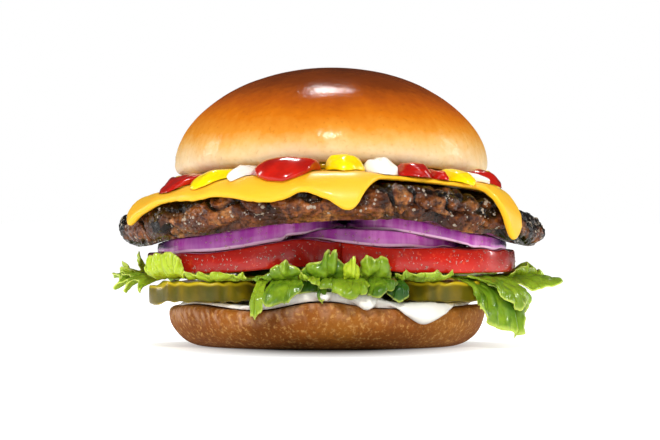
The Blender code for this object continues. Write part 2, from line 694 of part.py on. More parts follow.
def build_front_leaves():
    """Two leaves that come out under the tomato in front: one stands up, one hangs down. The
    edges of two more show under the tomato at their sides."""
    leaf("lettuce_front_upper", (
        ((-17, -36, 25.3), (-9, -36, 26.1), (0, -34, 26.0), (9, -35, 25.9), (17, -36, 25.2)),
        ((-24, -47, 25.2), (-12, -48, 26.0), (0, -49, 26.2), (11, -49, 25.8), (23, -47, 25.2)),
        ((-25, -50, 25.8), (-13, -54, 27.4), (1, -56, 28.8), (13, -55, 27.8), (25, -50, 25.2)),
        ((-25, -50, 26.4), (-14, -51, 29.2), (1.5, -52, 32.6), (16, -51, 31.2), (25, -49, 25.6))),
        4, 0.9, (0.0, -0.5, 1.0), (18, 5))
    leaf("lettuce_front_lower", (
        ((-17, -38, ROOT_BELOW), (-8, -38, ROOT_BELOW), (4, -38, ROOT_BELOW),
         (12, -38, ROOT_BELOW), (18, -38, ROOT_BELOW)),
        ((-24, -49, 22.8), (-12, -53, 22.6), (2, -54, 22.6), (14, -53.5, 22.4), (22, -48, 22.8)),
        ((-25, -54, 17.4), (-13, -57, 19.0), (1, -58, 19.2), (14, -57, 19.6), (24, -53, 18.2)),
        ((-24.5, -55, 10.6), (-19.5, -57, 14.2), (-12, -58.5, 16.6), (-7, -58.5, 17.6),
         (-1, -58, 13.8), (5, -58.5, 16.4), (11, -58, 19.0), (18, -56, 16.6), (23.5, -54, 14.2))),
        6, 0.9, (0.0, -1.0, 0.4), (20, 5))
    leaf("lettuce_edge_left", (
        ((-42, -31, ROOT_ABOVE), (-35, -35, ROOT_ABOVE), (-28, -37, ROOT_ABOVE)),
        ((-45, -38, 24.0), (-37, -42, 24.0), (-28, -45, 24.0)),
        ((-47, -41, 24.6), (-38, -45, 24.8), (-28, -47, 24.6))),
        5, 0.9, (0.0, 0.0, 1.0), (14, 3))
    leaf("lettuce_edge_right", (
        ((24, -35, ROOT_ABOVE), (30, -35, ROOT_ABOVE), (36, -33, ROOT_ABOVE)),
        ((25, -44, 24.0), (32, -43, 24.0), (40, -39.5, 24.0)),
        ((25, -47, 24.7), (33, -46, 24.8), (42, -42, 24.6))),
        4, 0.9, (0.0, 0.0, 1.0), (12, 3))


def fringe(name, start, end, height, divisions):
    """A leaf that sticks out at the back of the stack, from one angle to another."""
    def ring(radius, z, lift):
        points = []
        for i in range(5):
            angle = math.radians(start + (end - start) * i / 4)
            points.append((radius * math.sin(angle), -radius * math.cos(angle), z + lift * (-1) ** i))
        return points

    rows = (ring(42, ROOT_ABOVE, 0), ring(51, ROOT_BELOW, 0), ring(58, height + 1.5, 0.8),
            ring(64, height, 2.4))
    leaf(name, rows, 5, 1.2, (0.0, 0.0, 1.0), divisions)


def build_back_leaves():
    fringe("lettuce_back_right", 108, 144, 21.0, (12, 4))
    fringe("lettuce_back", 158, 202, 22.0, (14, 4))
    fringe("lettuce_back_left", 216, 244, 20.5, (12, 4))


def main():
    clear_objects()
    for name in ("cheeseburger", "cutters"):
        collection = bpy.data.collections.get(name) or bpy.data.collections.new(name)
        if collection.name not in bpy.context.scene.collection.children:
            bpy.context.scene.collection.children.link(collection)
    build_heel()
    build_mayo()
    build_pickles()
    build_lettuce_bed()
    build_side_leaves()
    build_front_leaves()
    build_back_leaves()
    build_tomatoes()
    build_onions()
    build_patty()
    build_cheese()
    build_sauces()
    build_crown()


main()
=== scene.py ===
"""The looks of a cheeseburger: every layer made again in fine detail, in the place of its solid.

Shapes are worked out in millimetres and stored in metres. X runs to the right of the burger's
front, which faces -Y, and Z is up. Angles round the stack are in degrees, start at the front and
grow to the right.
"""
import math

import bpy
import numpy as np
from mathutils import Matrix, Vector, noise


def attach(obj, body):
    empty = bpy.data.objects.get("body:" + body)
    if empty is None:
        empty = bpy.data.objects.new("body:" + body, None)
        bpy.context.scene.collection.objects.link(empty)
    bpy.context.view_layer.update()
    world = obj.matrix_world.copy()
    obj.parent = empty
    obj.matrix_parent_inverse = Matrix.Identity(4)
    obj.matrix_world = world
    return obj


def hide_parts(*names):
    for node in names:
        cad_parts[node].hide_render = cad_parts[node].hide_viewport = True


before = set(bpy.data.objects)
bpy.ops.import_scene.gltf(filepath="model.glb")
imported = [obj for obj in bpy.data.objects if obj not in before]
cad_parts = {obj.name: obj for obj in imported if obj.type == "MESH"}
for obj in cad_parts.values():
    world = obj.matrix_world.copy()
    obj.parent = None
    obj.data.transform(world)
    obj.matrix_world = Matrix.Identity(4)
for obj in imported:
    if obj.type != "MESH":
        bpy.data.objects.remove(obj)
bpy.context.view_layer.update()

MM = 0.001
# Clearance between a soft layer and what it lies on
GAP = 0.3

# Camera: a long lens a little above the table. The picture is as wide as 3 px to 1 mm makes it.
PICTURE_WIDTH_MM = 221.0
CAMERA_DISTANCE = 1400.0
CAMERA_HEIGHT = 50.0
CAMERA_AIM = (1.0, 0.0, 42.0)
SENSOR = 36.0

# The room's own light is a share of its white, and less of it is mirrored. The floor glows white
# except round the burger, where a painted shadow greys its colour and dims its glow. The painted
# shadow is an oval: its axes as shares of a circle's, and the distances in metres at which it starts
# to fade and ends.
ROOM_LIGHT = 0.45
ROOM_GLOSS = 0.05
FLOOR_REACH = 6000.0
FLOOR_GLOW = 0.75
FLOOR_SHADE = (1.7, 0.75, 1.0)
SHADE_FADES, SHADE_ENDS = 0.04, 0.105

# Lamps: place, width, height, power, and whether wet things mirror it
LAMP_AIM = (0.0, 0.0, 50.0)
LAMPS = (
    ("softbox_above", (-10, 320, 640), 110, 60, 1.7, True),
    ("softbox_front", (-20, -800, 520), 130, 80, 4.8, True),
    ("fill_front", (0, -1200, 160), 500, 260, 3.6, False),
    ("strip_left", (-650, 120, 200), 60, 300, 1.0, True),
    ("strip_right", (650, 120, 200), 60, 300, 1.0, True))

# Bun
HEEL_RADIUS, HEEL_SIDE, HEEL_SHOULDER, HEEL_TOP = 52.8, 12.0, 1.6, 13.4
HEEL_WAVE = 0.45
HEEL_SWELL, HEEL_SWELL_X, HEEL_SWELL_WIDTH = 1.8, -3.0, 19.0
CROWN_X, CROWN_RADIUS, CROWN_TOP = 1.5, 52.3, 93.0
CROWN_FULLNESS = 0.965
CROWN_WAIST, CROWN_RIM, CROWN_RIM_INSET, CROWN_UNDERSIDE = 66.0, 61.5, 4.8, 62.8
# Angle round the heel at which its side is most wrinkled
WRINKLED_AT = -62

# Patty, and how far it and all above it droop to the sides and to the front
PATTY_X, PATTY_RADIUS, PATTY_ROUND, PATTY_TOP = 2.0, 71.0, 7.0, 55.8
PATTY_UNDERSIDE = (
    (-70, 32.7), (-64, 32.8), (-59, 33.4), (-52, 35.6), (-41, 37.3), (-29, 39.2), (-17, 41.2),
    (2, 42.6), (20, 43.1), (30, 42.2), (37, 40.4), (45, 38.4), (55, 36.6), (62, 34.2), (73, 32.2))
SAG_X, SIDE_SAG, FRONT_SAG = 5.0, 0.0021, 0.0002
END_DROOP, DROOP_FROM, DROOP_TO = 3.2, 52.0, 68.0

# Ground meat: sizes of its lumps, and depths of the gaps between them and of the cracks
BIG_LUMP, MEDIUM_LUMP, SMALL_LUMP = 10, 4.6, 1.9
GAP_DEPTH, CRACK_DEPTH = 1.3, 1.4
# The meat's relief stands out no further than this from the smooth patty.
MEAT_STANDS_OUT = 0.45
# Places on the patty's edge where juice has gathered, whose pale beads stand in for glints as
# painted highlights: X, height and radius
JUICY = ((-47, 41.5, 4), (-42, 43, 3), (-31, 43.5, 3), (-22, 45, 4), (-4, 48, 3), (15, 49, 3),
         (40, 49, 3), (47, 44, 4), (52, 46, 4), (69, 41, 5), (-68, 42, 4))
# A burnt crag at the patty's left end: its place, its radius and how far it stands out
CRAG, CRAG_RADIUS, CRAG_OUT = (-69, -6, 42.5), 4.5, 2.2

# Cheese: how far it reaches from the middle along the patty's surface, by angle in degrees
CHEESE_REACH = (
    (-180, 76), (-150, 67), (-128, 77), (-112, 66), (-100, 63), (-88, 62), (-80, 63), (-74, 64),
    (-66.5, 73.5), (-62, 72), (-56, 70), (-50, 69), (-40, 70.5), (-30, 71), (-20, 73.7),
    (-13, 73.7), (-8, 71.8), (-3, 73.5), (4, 77.2), (8, 72), (11, 68), (15, 65), (20, 63),
    (34, 63), (43, 64), (46.5, 65), (49.5, 74), (52.5, 80), (55, 78), (57.5, 70), (62, 63),
    (68, 60), (90, 59), (102, 60), (114, 64), (128, 77), (150, 67), (180, 76))
CHEESE_THICKNESS = 2.6
# The slice is thinner between two angles, where it bares the patty in front
CHEESE_THIN = 1.4
THIN_FROM, THIN_TO = 12.0, 47.0

# Sauces on the cheese: kind, first and last angle, inner and outer reach, height
SAUCES = (
    ("ketchup", -62, -45, 50, 67, 3.4), ("mustard", -44.5, -32.5, 51, 68, 3.4),
    ("mayo", -32, -24.9, 51, 67, 3.4), ("ketchup", -24.9, -3.4, 50, 70, 4.4),
    ("mustard", -2.8, 9.6, 51, 65, 4.9), ("mayo", 10.2, 20.6, 51, 64, 5.0),
    ("ketchup", 21.2, 32, 51, 64.5, 4.6), ("ketchup", 32.6, 38, 51, 63.5, 3.2),
    ("mustard", 38.6, 47, 51, 66, 3.4), ("mayo", 47.6, 51.4, 51, 66, 2.6),
    ("ketchup", 52, 62, 51, 65, 3.6), ("mustard", 66, 84, 50, 57, 3.6),
    ("ketchup", 90, 114, 50, 57.5, 4.0), ("mayo", 118, 136, 51, 63, 4.2),
    ("ketchup", 137, 163, 51, 66, 4.4), ("mustard", 164, 186, 51, 68, 4.8),
    ("ketchup", 187, 213, 50, 66, 4.6), ("mayo", 214, 234, 51, 65, 4.4),
    ("mustard", 238, 260, 50, 58, 4.0), ("ketchup", 266, 290, 50, 57, 3.4))

# Onion slices: middle, radius and the heights of their undersides and tops along X
ONION_THICKNESS = 6.0
ONION_LEFT = (-25.0, -9.0, 31.0)
ONION_LEFT_UNDER = (
    (-58, 31.4), (-41, 31.8), (-29, 33.3), (-20, 34.8), (-17, 35.25), (-14.6, 35.7), (-13, 37.1),
    (-9, 37.95), (-5, 38.5), (0, 39.3), (4, 39.8), (7, 39.8))
ONION_UPPER = (32.8, -12.0, 26.5)
ONION_UPPER_UNDER = (
    (4, 39.7), (12, 39.55), (22, 38.8), (35, 36.6), (44, 35.0), (46, 34.5), (47.3, 33.7),
    (50, 33.2), (54, 32.9), (60, 32.5))
ONION_LOWER = (16.5, -9.0, 29.5)
ONION_LOWER_TOP = (
    (-14, 36.7), (-9, 37.4), (-5, 38.0), (3, 39.3), (12, 39.1), (22, 38.4), (35, 36.2),
    (47, 34.3))

# Tomato slices: middle, radius, and the heights of both faces along X
TOMATO_LEFT = (-21.5, -6.0, 38.0)
TOMATO_RIGHT = (26.5, -6.0, 36.0)
TOMATO_TOP = (
    (-60, 31.0), (-41, 31.4), (-29, 32.9), (-17, 34.9), (-9, 36.0), (7, 34.6), (20, 33.3),
    (40, 33.1), (63, 32.0))
TOMATO_UNDER = (
    (-60, 24.7), (-34, 24.8), (-20, 26.0), (-9, 26.8), (7, 26.6), (18, 25.8), (26, 24.9),
    (63, 24.7))
ONION_CLEARANCE = 0.38
ONION_LAYER = 4.2
# How far a slice has settled into the wet face under it, so that no light shows between them
SETTLED = 0.27
# Where the right tomato slice is turned from, and the depth of a slice's rim that drops cling to
TOMATO_RIGHT_HEART = (40.0, -6.0)
WET_DEPTH = 0.3

# Crinkle-cut pickle slices: middle, radius, and turn in degrees of the line across the ridges
PICKLES = (
    ("pickle_front_left", -39.5, -24.0, 19.0, 6), ("pickle_front_right", 38.0, -22.5, 16.5, -8),
    ("pickle_back_left", -24.0, 25.0, 18.0, 70), ("pickle_back_right", 27.0, 23.0, 18.0, -60))
PICKLE_UNDER = 15.75
PICKLE_TOP = 22.05
CRINKLE_LENGTH = 5.2
CRINKLE_DEPTH = 0.5
PICKLE_DROOP = 1.6

# Mayonnaise on the heel: its thickness under the pickles, and how far it reaches by angle
MAYO_THICKNESS = 0.8
MAYO_REACH = (
    (-180, 48), (-150, 50), (-120, 47), (-90, 49), (-62, 49), (-45, 50), (-30, 51.5), (-24, 52),
    (-18, 50), (-8, 50.5), (0, 53), (4, 50.5), (12, 53.5), (16, 53), (19, 51.5), (24, 52),
    (28, 54), (32, 56.2), (35.5, 56.9), (39, 56.2), (44, 54.2), (50, 52.4), (58, 50), (66, 49),
    (90, 48), (120, 51), (150, 48), (180, 48))
SHOULDER_CLEARANCE = 0.8

# The flat leaf under the tomato
BED_HEIGHT = 22.85
BED_THICKNESS = 0.5
BED_RADIUS = 40.0
BED_FRONT_RADIUS = 35.0

# Leaves at the back: first and last angle, and height of the rim. Each has lobes between two
# distances from the middle.
BACK_LOBES, BACK_ROOT, BACK_RIM = 3, 45, 64.5
BACK_LEAVES = (
    ("lettuce_back_right", 108, 144, 21.0), ("lettuce_back", 158, 202, 22.0),
    ("lettuce_back_left", 216, 244, 20.5))

# Lobes of the curly leaves. Each has the radius that it starts from under the tomato, places
# along its rim from left to right as seen from outside, how far it stands out before it turns to
# its rim, its number of folds, their depth, how deep the rim is notched, and how yellow it is, or
# below 0 how dark it is painted, as shade on lobes that lie behind others. All start at the height
# of the root.
LEAF_ROOT = 23.7
LEAF_THICKNESS = 0.55
LEAF_CLEARANCE = 0.7
LOBES = {
    "lettuce_front_upper": (
        (44, ((-24, -50, 22.5), (-20.5, -52, 25), (-16.5, -54, 28.5), (-13, -54, 29.3),
              (-8.5, -52, 27.5)), 4.0, 1.6, 0.7, 0.05, 0.15),
        (44, ((-9.5, -51, 27), (-5.5, -54, 29.8), (-1.5, -55, 31), (0.7, -56, 33.7), (3.5, -55, 32.3),
              (6.5, -53, 30)), 4.0, 2.2, 0.9, 0.1, 0.05),
        (46, ((5, -54, 28), (7.5, -56, 30.8), (9.3, -56, 30), (10.3, -54, 27)),
         3.5, 0.8, 0.5, 0.04, 0.9),
        (44, ((10, -51, 28), (12.5, -53, 30.6), (16.3, -54, 31), (19, -53, 29.5), (20.3, -50, 25.5)),
         4.5, 1.4, 0.7, 0.06, 0.2)),
    "lettuce_front_lower": (
        (44, ((-21, -47, 19), (-8, -50, 18), (4, -51, 18.5), (14, -50, 17.5), (24.5, -45, 18.5)),
         1.0, 5.0, 0.6, 0.08, -0.6),
        (44, ((-20.5, -57, 14), (-18.5, -58, 13.4), (-15, -58, 14.6), (-10.5, -58, 17.2),
              (-7.5, -57, 20.5)), 2.0, 1.5, 1.0, 0.06, 0.1),
        (50, ((-25, -56, 11.2), (-23.3, -57, 10.2), (-20.5, -57, 12.3)), 0.5, 1.0, 0.5, 0.04, 0.4),
        (46, ((-9, -53, 26.5), (-6.8, -57, 24.5), (-5, -60, 22.3), (-2, -59, 20.8)),
         1.5, 0.9, 0.5, 0.04, 0.5),
        (46, ((-3, -54, 18), (-1.8, -55, 15), (-0.3, -55, 17.8)), 1.5, 0.8, 0.4, 0.04, 0.0),
        (44, ((-2.5, -57, 20.5), (1.5, -59, 19.5), (4.5, -60, 17.5), (7.7, -60, 16), (11, -59, 18),
              (13.7, -57, 20.5)), 3.5, 2.2, 1.0, 0.06, 0.2),
        (44, ((13, -54, 19), (15.5, -57, 16.6), (18.5, -57, 18.6), (22.3, -53, 20.8)),
         3.0, 1.6, 0.8, 0.08, 0.1),
        (43, ((19, -49, 18.5), (22.5, -51, 15.5), (24.5, -50, 16), (25.5, -47, 19.5)),
         1.5, 1.1, 0.6, 0.06, -0.7)),
    "lettuce_rib": (
        (52, ((-59, -23, 28.5), (-57.5, -28, 31), (-53.5, -32, 31.8), (-50, -35.5, 31.6),
              (-47.8, -37.5, 29.4), (-46, -39, 25.5)), 4.0, 5.2, 0.45, 0.02, 0.85),),
    "lettuce_edge_left": (
        (44, ((-47, -40, 26), (-39, -44, 25.6), (-31.5, -46, 26), (-25.5, -47, 25.4)),
         2.0, 3.4, 0.6, 0.2, 0.6),),
    "lettuce_edge_right": (
        (40, ((22, -48, 26), (29, -47, 26.4), (35, -44, 26.2), (42, -40, 26)),
         2.0, 2.6, 0.9, 0.2, 0.35),),
    "lettuce_left": (
        (50, ((-66, 10, 22.5), (-71.5, 2, 24), (-72.5, -8, 20.5), (-69, -16, 18.6),
              (-62, -22, 18.5)), -2.0, 4.2, 1.5, 0.3, 0.35),
        (50, ((-61, 16, 28), (-63.5, 10, 31.5), (-66, 4, 29.7), (-68.5, -2, 27), (-62, -8, 26)),
         -1.0, 3.8, 1.5, 0.35, 0.9),
        (50, ((-66, 1, 26.5), (-69, -6, 24.5), (-66, -14, 22)), -1.0, 2.4, 1.0, 0.2, 0.3)),
    "lettuce_right_upper": (
        (52, ((60, -25, 18.8), (66, -24, 18.5), (72, -20, 19.8), (78, -14, 20.4), (73, -4, 24),
              (69, 8, 27.5), (65, 14, 28.5)), -2.0, 3.4, 1.2, 0.18, 0.3),
        (54, ((61, -20, 26), (65, -14, 28), (67.5, -8, 28), (69.5, -2, 26)), 1.0, 1.6, 0.8, 0.12, 0.5),
        (50, ((45.5, -34, 24.6), (50, -36, 22.5), (55.5, -35, 19.5), (58.5, -31, 18.8)),
         2.0, 1.5, 0.8, 0.06, 0.1)),
    "lettuce_right_lower": (
        (50, ((49, -42, 15), (51, -42, 8.8), (55.5, -39, 6.5), (59.5, -36, 5.5), (62, -33, 2.5),
              (64.5, -28, 7), (68, -20, 14.5)), 1.0, 3.0, 1.5, 0.1, 0.05),
        (52, ((55, -40, 16.5), (59, -38, 13.5), (63, -33, 12.5), (66.5, -26, 14)),
         2.5, 1.7, 1.0, 0.1, 0.25)),
}


def smooth(start, end, value):
    """0 before start, 1 after end, and a smooth rise between them."""
    part = np.clip((value - start) / (end - start), 0, 1)
    return part * part * (3 - 2 * part)


def through(stations, place):
    """Values on a smooth curve through (place, value) stations."""
    places, values = np.array(stations, float).T
    slopes = np.empty_like(values)
    slopes[1:-1] = (values[2:] - values[:-2]) / (places[2:] - places[:-2])
    slopes[0] = (values[1] - values[0]) / (places[1] - places[0])
    slopes[-1] = (values[-1] - values[-2]) / (places[-1] - places[-2])
    place = np.clip(place, places[0], places[-1])
    i = np.clip(np.searchsorted(places, place, side="right") - 1, 0, len(places) - 2)
    width = places[i + 1] - places[i]
    t = (place - places[i]) / width
    return ((2 * t ** 3 - 3 * t ** 2 + 1) * values[i]
            + (t ** 3 - 2 * t ** 2 + t) * width * slopes[i]
            + (3 * t ** 2 - 2 * t ** 3) * values[i + 1] + (t ** 3 - t ** 2) * width * slopes[i + 1])


def rough(points, size, seed=0):
    """Smooth noise from -1 to 1 at an array of points, with lumps of a size in mm."""
    moved = (points / size + seed * 7.31).reshape(-1, 3)
    return np.array([noise.noise(point) for point in moved.tolist()]).reshape(points.shape[:-1])


def lumps(points, size, seed=0):
    """Round lumps with creases between them: 1 in the middle of a lump, about 0 in a crease."""
    moved = (points / size + seed * 7.31).reshape(-1, 3)
    nearest = np.array([noise.voronoi(point)[0][:2] for point in moved.tolist()])
    edge = nearest[:, 1] - nearest[:, 0]
    return np.clip(edge, 0, 1).reshape(points.shape[:-1])


def round_stack(r, angle):
    """X and Y at a distance from the middle and an angle round the stack."""
    a = np.radians(angle)
    return r * np.sin(a), -r * np.cos(a)


def front_angle(x, y):
    """The angle of a place round the stack."""
    return np.degrees(np.arctan2(x, -y))


def arc(middle_r, middle_z, radius_r, radius_z, start, end, count):
    """Points (r, z) on part of an ellipse, with angles in degrees from the outside up."""
    a = np.radians(np.linspace(start, end, count + 1))
    return np.column_stack((middle_r + radius_r * np.cos(a), middle_z + radius_z * np.sin(a)))


def spread(profile, count):
    """The same profile with evenly spaced points."""
    profile = np.array(profile, float)
    steps = np.linalg.norm(np.diff(profile, axis=0), axis=1)
    run = np.concatenate(([0], np.cumsum(steps)))
    places = np.linspace(0, run[-1], count)
    return np.column_stack([np.interp(places, run, profile[:, k]) for k in (0, 1)])


def object_of(name, vertices, faces, finish):
    """The named object of vertices in mm and faces, shaded smooth, with its finish."""
    mesh = bpy.data.meshes.new(name)
    mesh.from_pydata((np.asarray(vertices) * MM).tolist(), [], faces)
    mesh.shade_smooth()
    mesh.materials.append(finish)
    obj = bpy.data.objects.new(name, mesh)
    bpy.context.scene.collection.objects.link(obj)
    return obj


def strip_faces(rows, columns, first, wrap):
    """Faces between rows of points, whose numbers start at first. The rows go down or outwards."""
    faces = []
    for row in range(rows - 1):
        for i in range(columns if wrap else columns - 1):
            j = (i + 1) % columns
            a, b = first + row * columns + i, first + row * columns + j
            faces.append((a, a + columns, b + columns, b))
    return faces


def in_pole_order(values):
    """Values of rings as a list of vertices: the first and last rings are one point each."""
    return np.concatenate((values[0].mean(axis=0, keepdims=True),
                           values[1:-1].reshape(-1, *values.shape[2:]),
                           values[-1].mean(axis=0, keepdims=True)))


def mark_points(obj, mark, values):
    """An attribute with a value for each point, for materials and Geometry Nodes to read."""
    layer = obj.data.attributes.new(mark, 'FLOAT', 'POINT')
    layer.data.foreach_set("value", np.asarray(values).astype(np.float32))


def closed_form(name, rings, finish, **marks):
    """A closed form through rings of points, from the middle of its top to the middle of its
    underside. Each mark is an attribute with a value for each point."""
    rows, columns = rings.shape[:2]
    faces = [(0, 1 + i, 1 + (i + 1) % columns) for i in range(columns)]
    faces += strip_faces(rows - 2, columns, 1, True)
    last = 1 + (rows - 3) * columns
    end = 1 + (rows - 2) * columns
    faces += [(end, last + (i + 1) % columns, last + i) for i in range(columns)]
    obj = object_of(name, in_pole_order(rings), faces, finish)
    for mark, values in marks.items():
        mark_points(obj, mark, in_pole_order(values))
    return obj


def turned_grid(profile, columns):
    """Arrays of distance, angle and height for a profile of (r, z) turned round the stack."""
    profile = np.asarray(profile, float)
    angle = np.linspace(-180, 180, columns, endpoint=False)
    r, angle = np.meshgrid(profile[:, 0], angle, indexing="ij")
    return r, angle, np.repeat(profile[:, 1:2], columns, axis=1)


def outward(rings):
    """Unit normals of a closed form's rings, pointing out."""
    along = np.gradient(rings, axis=0)
    around = np.roll(rings, -1, axis=1) - np.roll(rings, 1, axis=1)
    normal = np.cross(along, around)
    length = np.linalg.norm(normal, axis=2, keepdims=True)
    return normal / np.maximum(length, 1e-9)


def dressed(piece, slot, *nodes):
    """Hide the model.glb parts that a piece stands in for, and hang the piece on the root body. The
    slot is not used.
    """
    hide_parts(*nodes)
    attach(piece, "root")
    return piece


def linear(code):
    """An sRGB hex colour as linear values."""
    parts = [int(code[i:i + 2], 16) / 255 for i in (0, 2, 4)]
    return [p / 12.92 if p <= 0.04045 else ((p + 0.055) / 1.055) ** 2.4 for p in parts] + [1.0]


def add(tree, kind, inputs=None, stops=(), **settings):
    """Add a node with its settings. Inputs are sockets to link or values to set, and stops are
    the places and hex colours of a ramp."""
    made = tree.nodes.new(kind)
    for name, value in settings.items():
        setattr(made, name, value)
    for _ in stops[2:]:
        made.color_ramp.elements.new(1.0)
    for element, (place, code) in zip(made.color_ramp.elements if stops else (), stops):
        element.position = place
        element.color = linear(code)
    for name, value in (inputs or {}).items():
        if isinstance(value, bpy.types.NodeSocket):
            tree.links.new(value, made.inputs[name])
        else:
            made.inputs[name].default_value = value
    return made


def finish_named(name, **values):
    """A Principled material with values on its own sockets, its tree, its shader and the
    socket of Object coordinates."""
    made = bpy.data.materials.new(name)
    made.use_nodes = True
    tree = made.node_tree
    shader = tree.nodes["Principled BSDF"]
    for key, value in values.items():
        socket = shader.inputs[key.replace("_", " ")]
        socket.default_value = linear(value) if isinstance(value, str) else value
    place = add(tree, "ShaderNodeTexCoord").outputs["Object"]
    return made, tree, shader, place


def marked(tree, mark):
    """The socket that reads an attribute of the piece."""
    return add(tree, "ShaderNodeAttribute", attribute_name=mark).outputs["Fac"]


def per_metre(size):
    """The scale of a texture whose features are a size in mm."""
    return 1000.0 / size


def patchy(tree, place, size, detail=3.0, roughness=0.5):
    """Noise with patches of a size in mm."""
    return add(tree, "ShaderNodeTexNoise", {"Vector": place, "Scale": per_metre(size) / 2,
                                            "Detail": detail, "Roughness": roughness}).outputs["Fac"]


def blended(tree, factor, first, second):
    """One colour over another, each a hex code or a socket."""
    sides = {6: first, 7: second}
    inputs = {k: linear(v) if isinstance(v, str) else v for k, v in sides.items()}
    return add(tree, "ShaderNodeMix", {0: factor, **inputs}, data_type='RGBA').outputs[2]


def ranged(tree, value, start, end, low=0.0, high=1.0):
    """A value's range from start to end mapped to one from low to high."""
    return add(tree, "ShaderNodeMapRange", {"Value": value, "From Min": start, "From Max": end,
                                            "To Min": low, "To Max": high}).outputs["Result"]


def relief(tree, shader, height, depth, strength=1.0):
    """Bump of a depth in mm from a height between 0 and 1."""
    bump = add(tree, "ShaderNodeBump", {"Height": height, "Distance": depth * MM,
                                        "Strength": strength})
    for name in ("Normal", "Coat Normal"):
        tree.links.new(bump.outputs["Normal"], shader.inputs[name])


def glazed_crust():
    """Bun crust brushed with egg: dark and shiny on top, golden on the shoulder, pale and dull
    where the dough was shaded in the oven."""
    made, tree, shader, place = finish_named(
        "glazed_crust", IOR=1.4, Coat_Weight=0.35, Coat_Roughness=0.14, Specular_IOR_Level=0.0,
        Subsurface_Weight=0.06, Subsurface_Radius=(1.0, 0.5, 0.2), Subsurface_Scale=0.002)
    wobble = ranged(tree, patchy(tree, place, 9, 4), 0.3, 0.7, -0.05, 0.05)
    fine = ranged(tree, patchy(tree, place, 1.2, 3), 0.3, 0.7, -0.022, 0.022)
    level = add(tree, "ShaderNodeMath", {0: marked(tree, "bake"), 1: wobble}).outputs[0]
    level = add(tree, "ShaderNodeMath", {0: level, 1: fine}).outputs[0]
    baked = add(tree, "ShaderNodeValToRGB", {"Fac": level}, stops=(
        (0.0, "e8d2ac"), (0.14, "e0be8a"), (0.25, "daa458"), (0.36, "d18427"), (0.5, "c4690f"),
        (0.63, "a9500f"), (0.8, "75340d"), (1.0, "55240a"))).outputs["Color"]
    # Painted shade: tiny dark pores stand in for the shade in the crust's small hollows
    pores = ranged(tree, patchy(tree, place, 0.6, 2), 0.62, 0.75)
    shaded = blended(tree, add(tree, "ShaderNodeMath", {0: pores, 1: 0.16},
                               operation='MULTIPLY').outputs[0], baked, "6a3410")
    tree.links.new(shaded, shader.inputs["Base Color"])
    tree.links.new(ranged(tree, level, 0.1, 0.55, 0.6, 0.45), shader.inputs["Roughness"])
    relief(tree, shader, patchy(tree, place, 0.9, 4, 0.6), 0.25, 0.5)
    return made


def floured_base():
    """The heel's dull brown crust, baked on a tray, with fine pale flecks all over."""
    made, tree, shader, place = finish_named("floured_base", IOR=1.4, Roughness=0.7,
                                             Specular_IOR_Level=0.3)
    broad = patchy(tree, place, 14, 4)
    crust = add(tree, "ShaderNodeValToRGB", {"Fac": broad}, stops=(
        (0.3, "7a410e"), (0.5, "925115"), (0.7, "a5661e"))).outputs["Color"]
    # Darker towards the bottom of the side
    crust = blended(tree, marked(tree, "scorch"), crust, "5e3410")
    crust = blended(tree, marked(tree, "pale"), crust, "c9a184")
    flecks = ranged(tree, patchy(tree, place, 0.7, 2, 0.7), 0.52, 0.7, 0.0, 0.55)
    crust = blended(tree, flecks, crust, "d9a45c")
    # Painted shade: dark pits stand in for the shade in the crust's small hollows
    pits = ranged(tree, patchy(tree, place, 0.9, 3, 0.6), 0.46, 0.34, 0.0, 0.45)
    crust = blended(tree, pits, crust, "70401a")
    tree.links.new(crust, shader.inputs["Base Color"])
    relief(tree, shader, patchy(tree, place, 0.8, 4, 0.65), 0.35, 0.8)
    return made


def heel_wave(x, y):
    """The uneven height of the heel's cut face, which grows towards its rim. Between the pickles
    in front, nothing presses it down and it swells up."""
    a = np.radians(front_angle(x, y))
    wave = np.sin(5 * a + 0.8) + 0.6 * np.sin(7 * a + 2.1)
    beside = np.abs(x - HEEL_SWELL_X)
    swell = HEEL_SWELL * (1 - smooth(0, HEEL_SWELL_WIDTH, beside)) * smooth(20, 48, -y)
    return HEEL_WAVE * wave * smooth(15, 50, np.hypot(x, y)) + swell


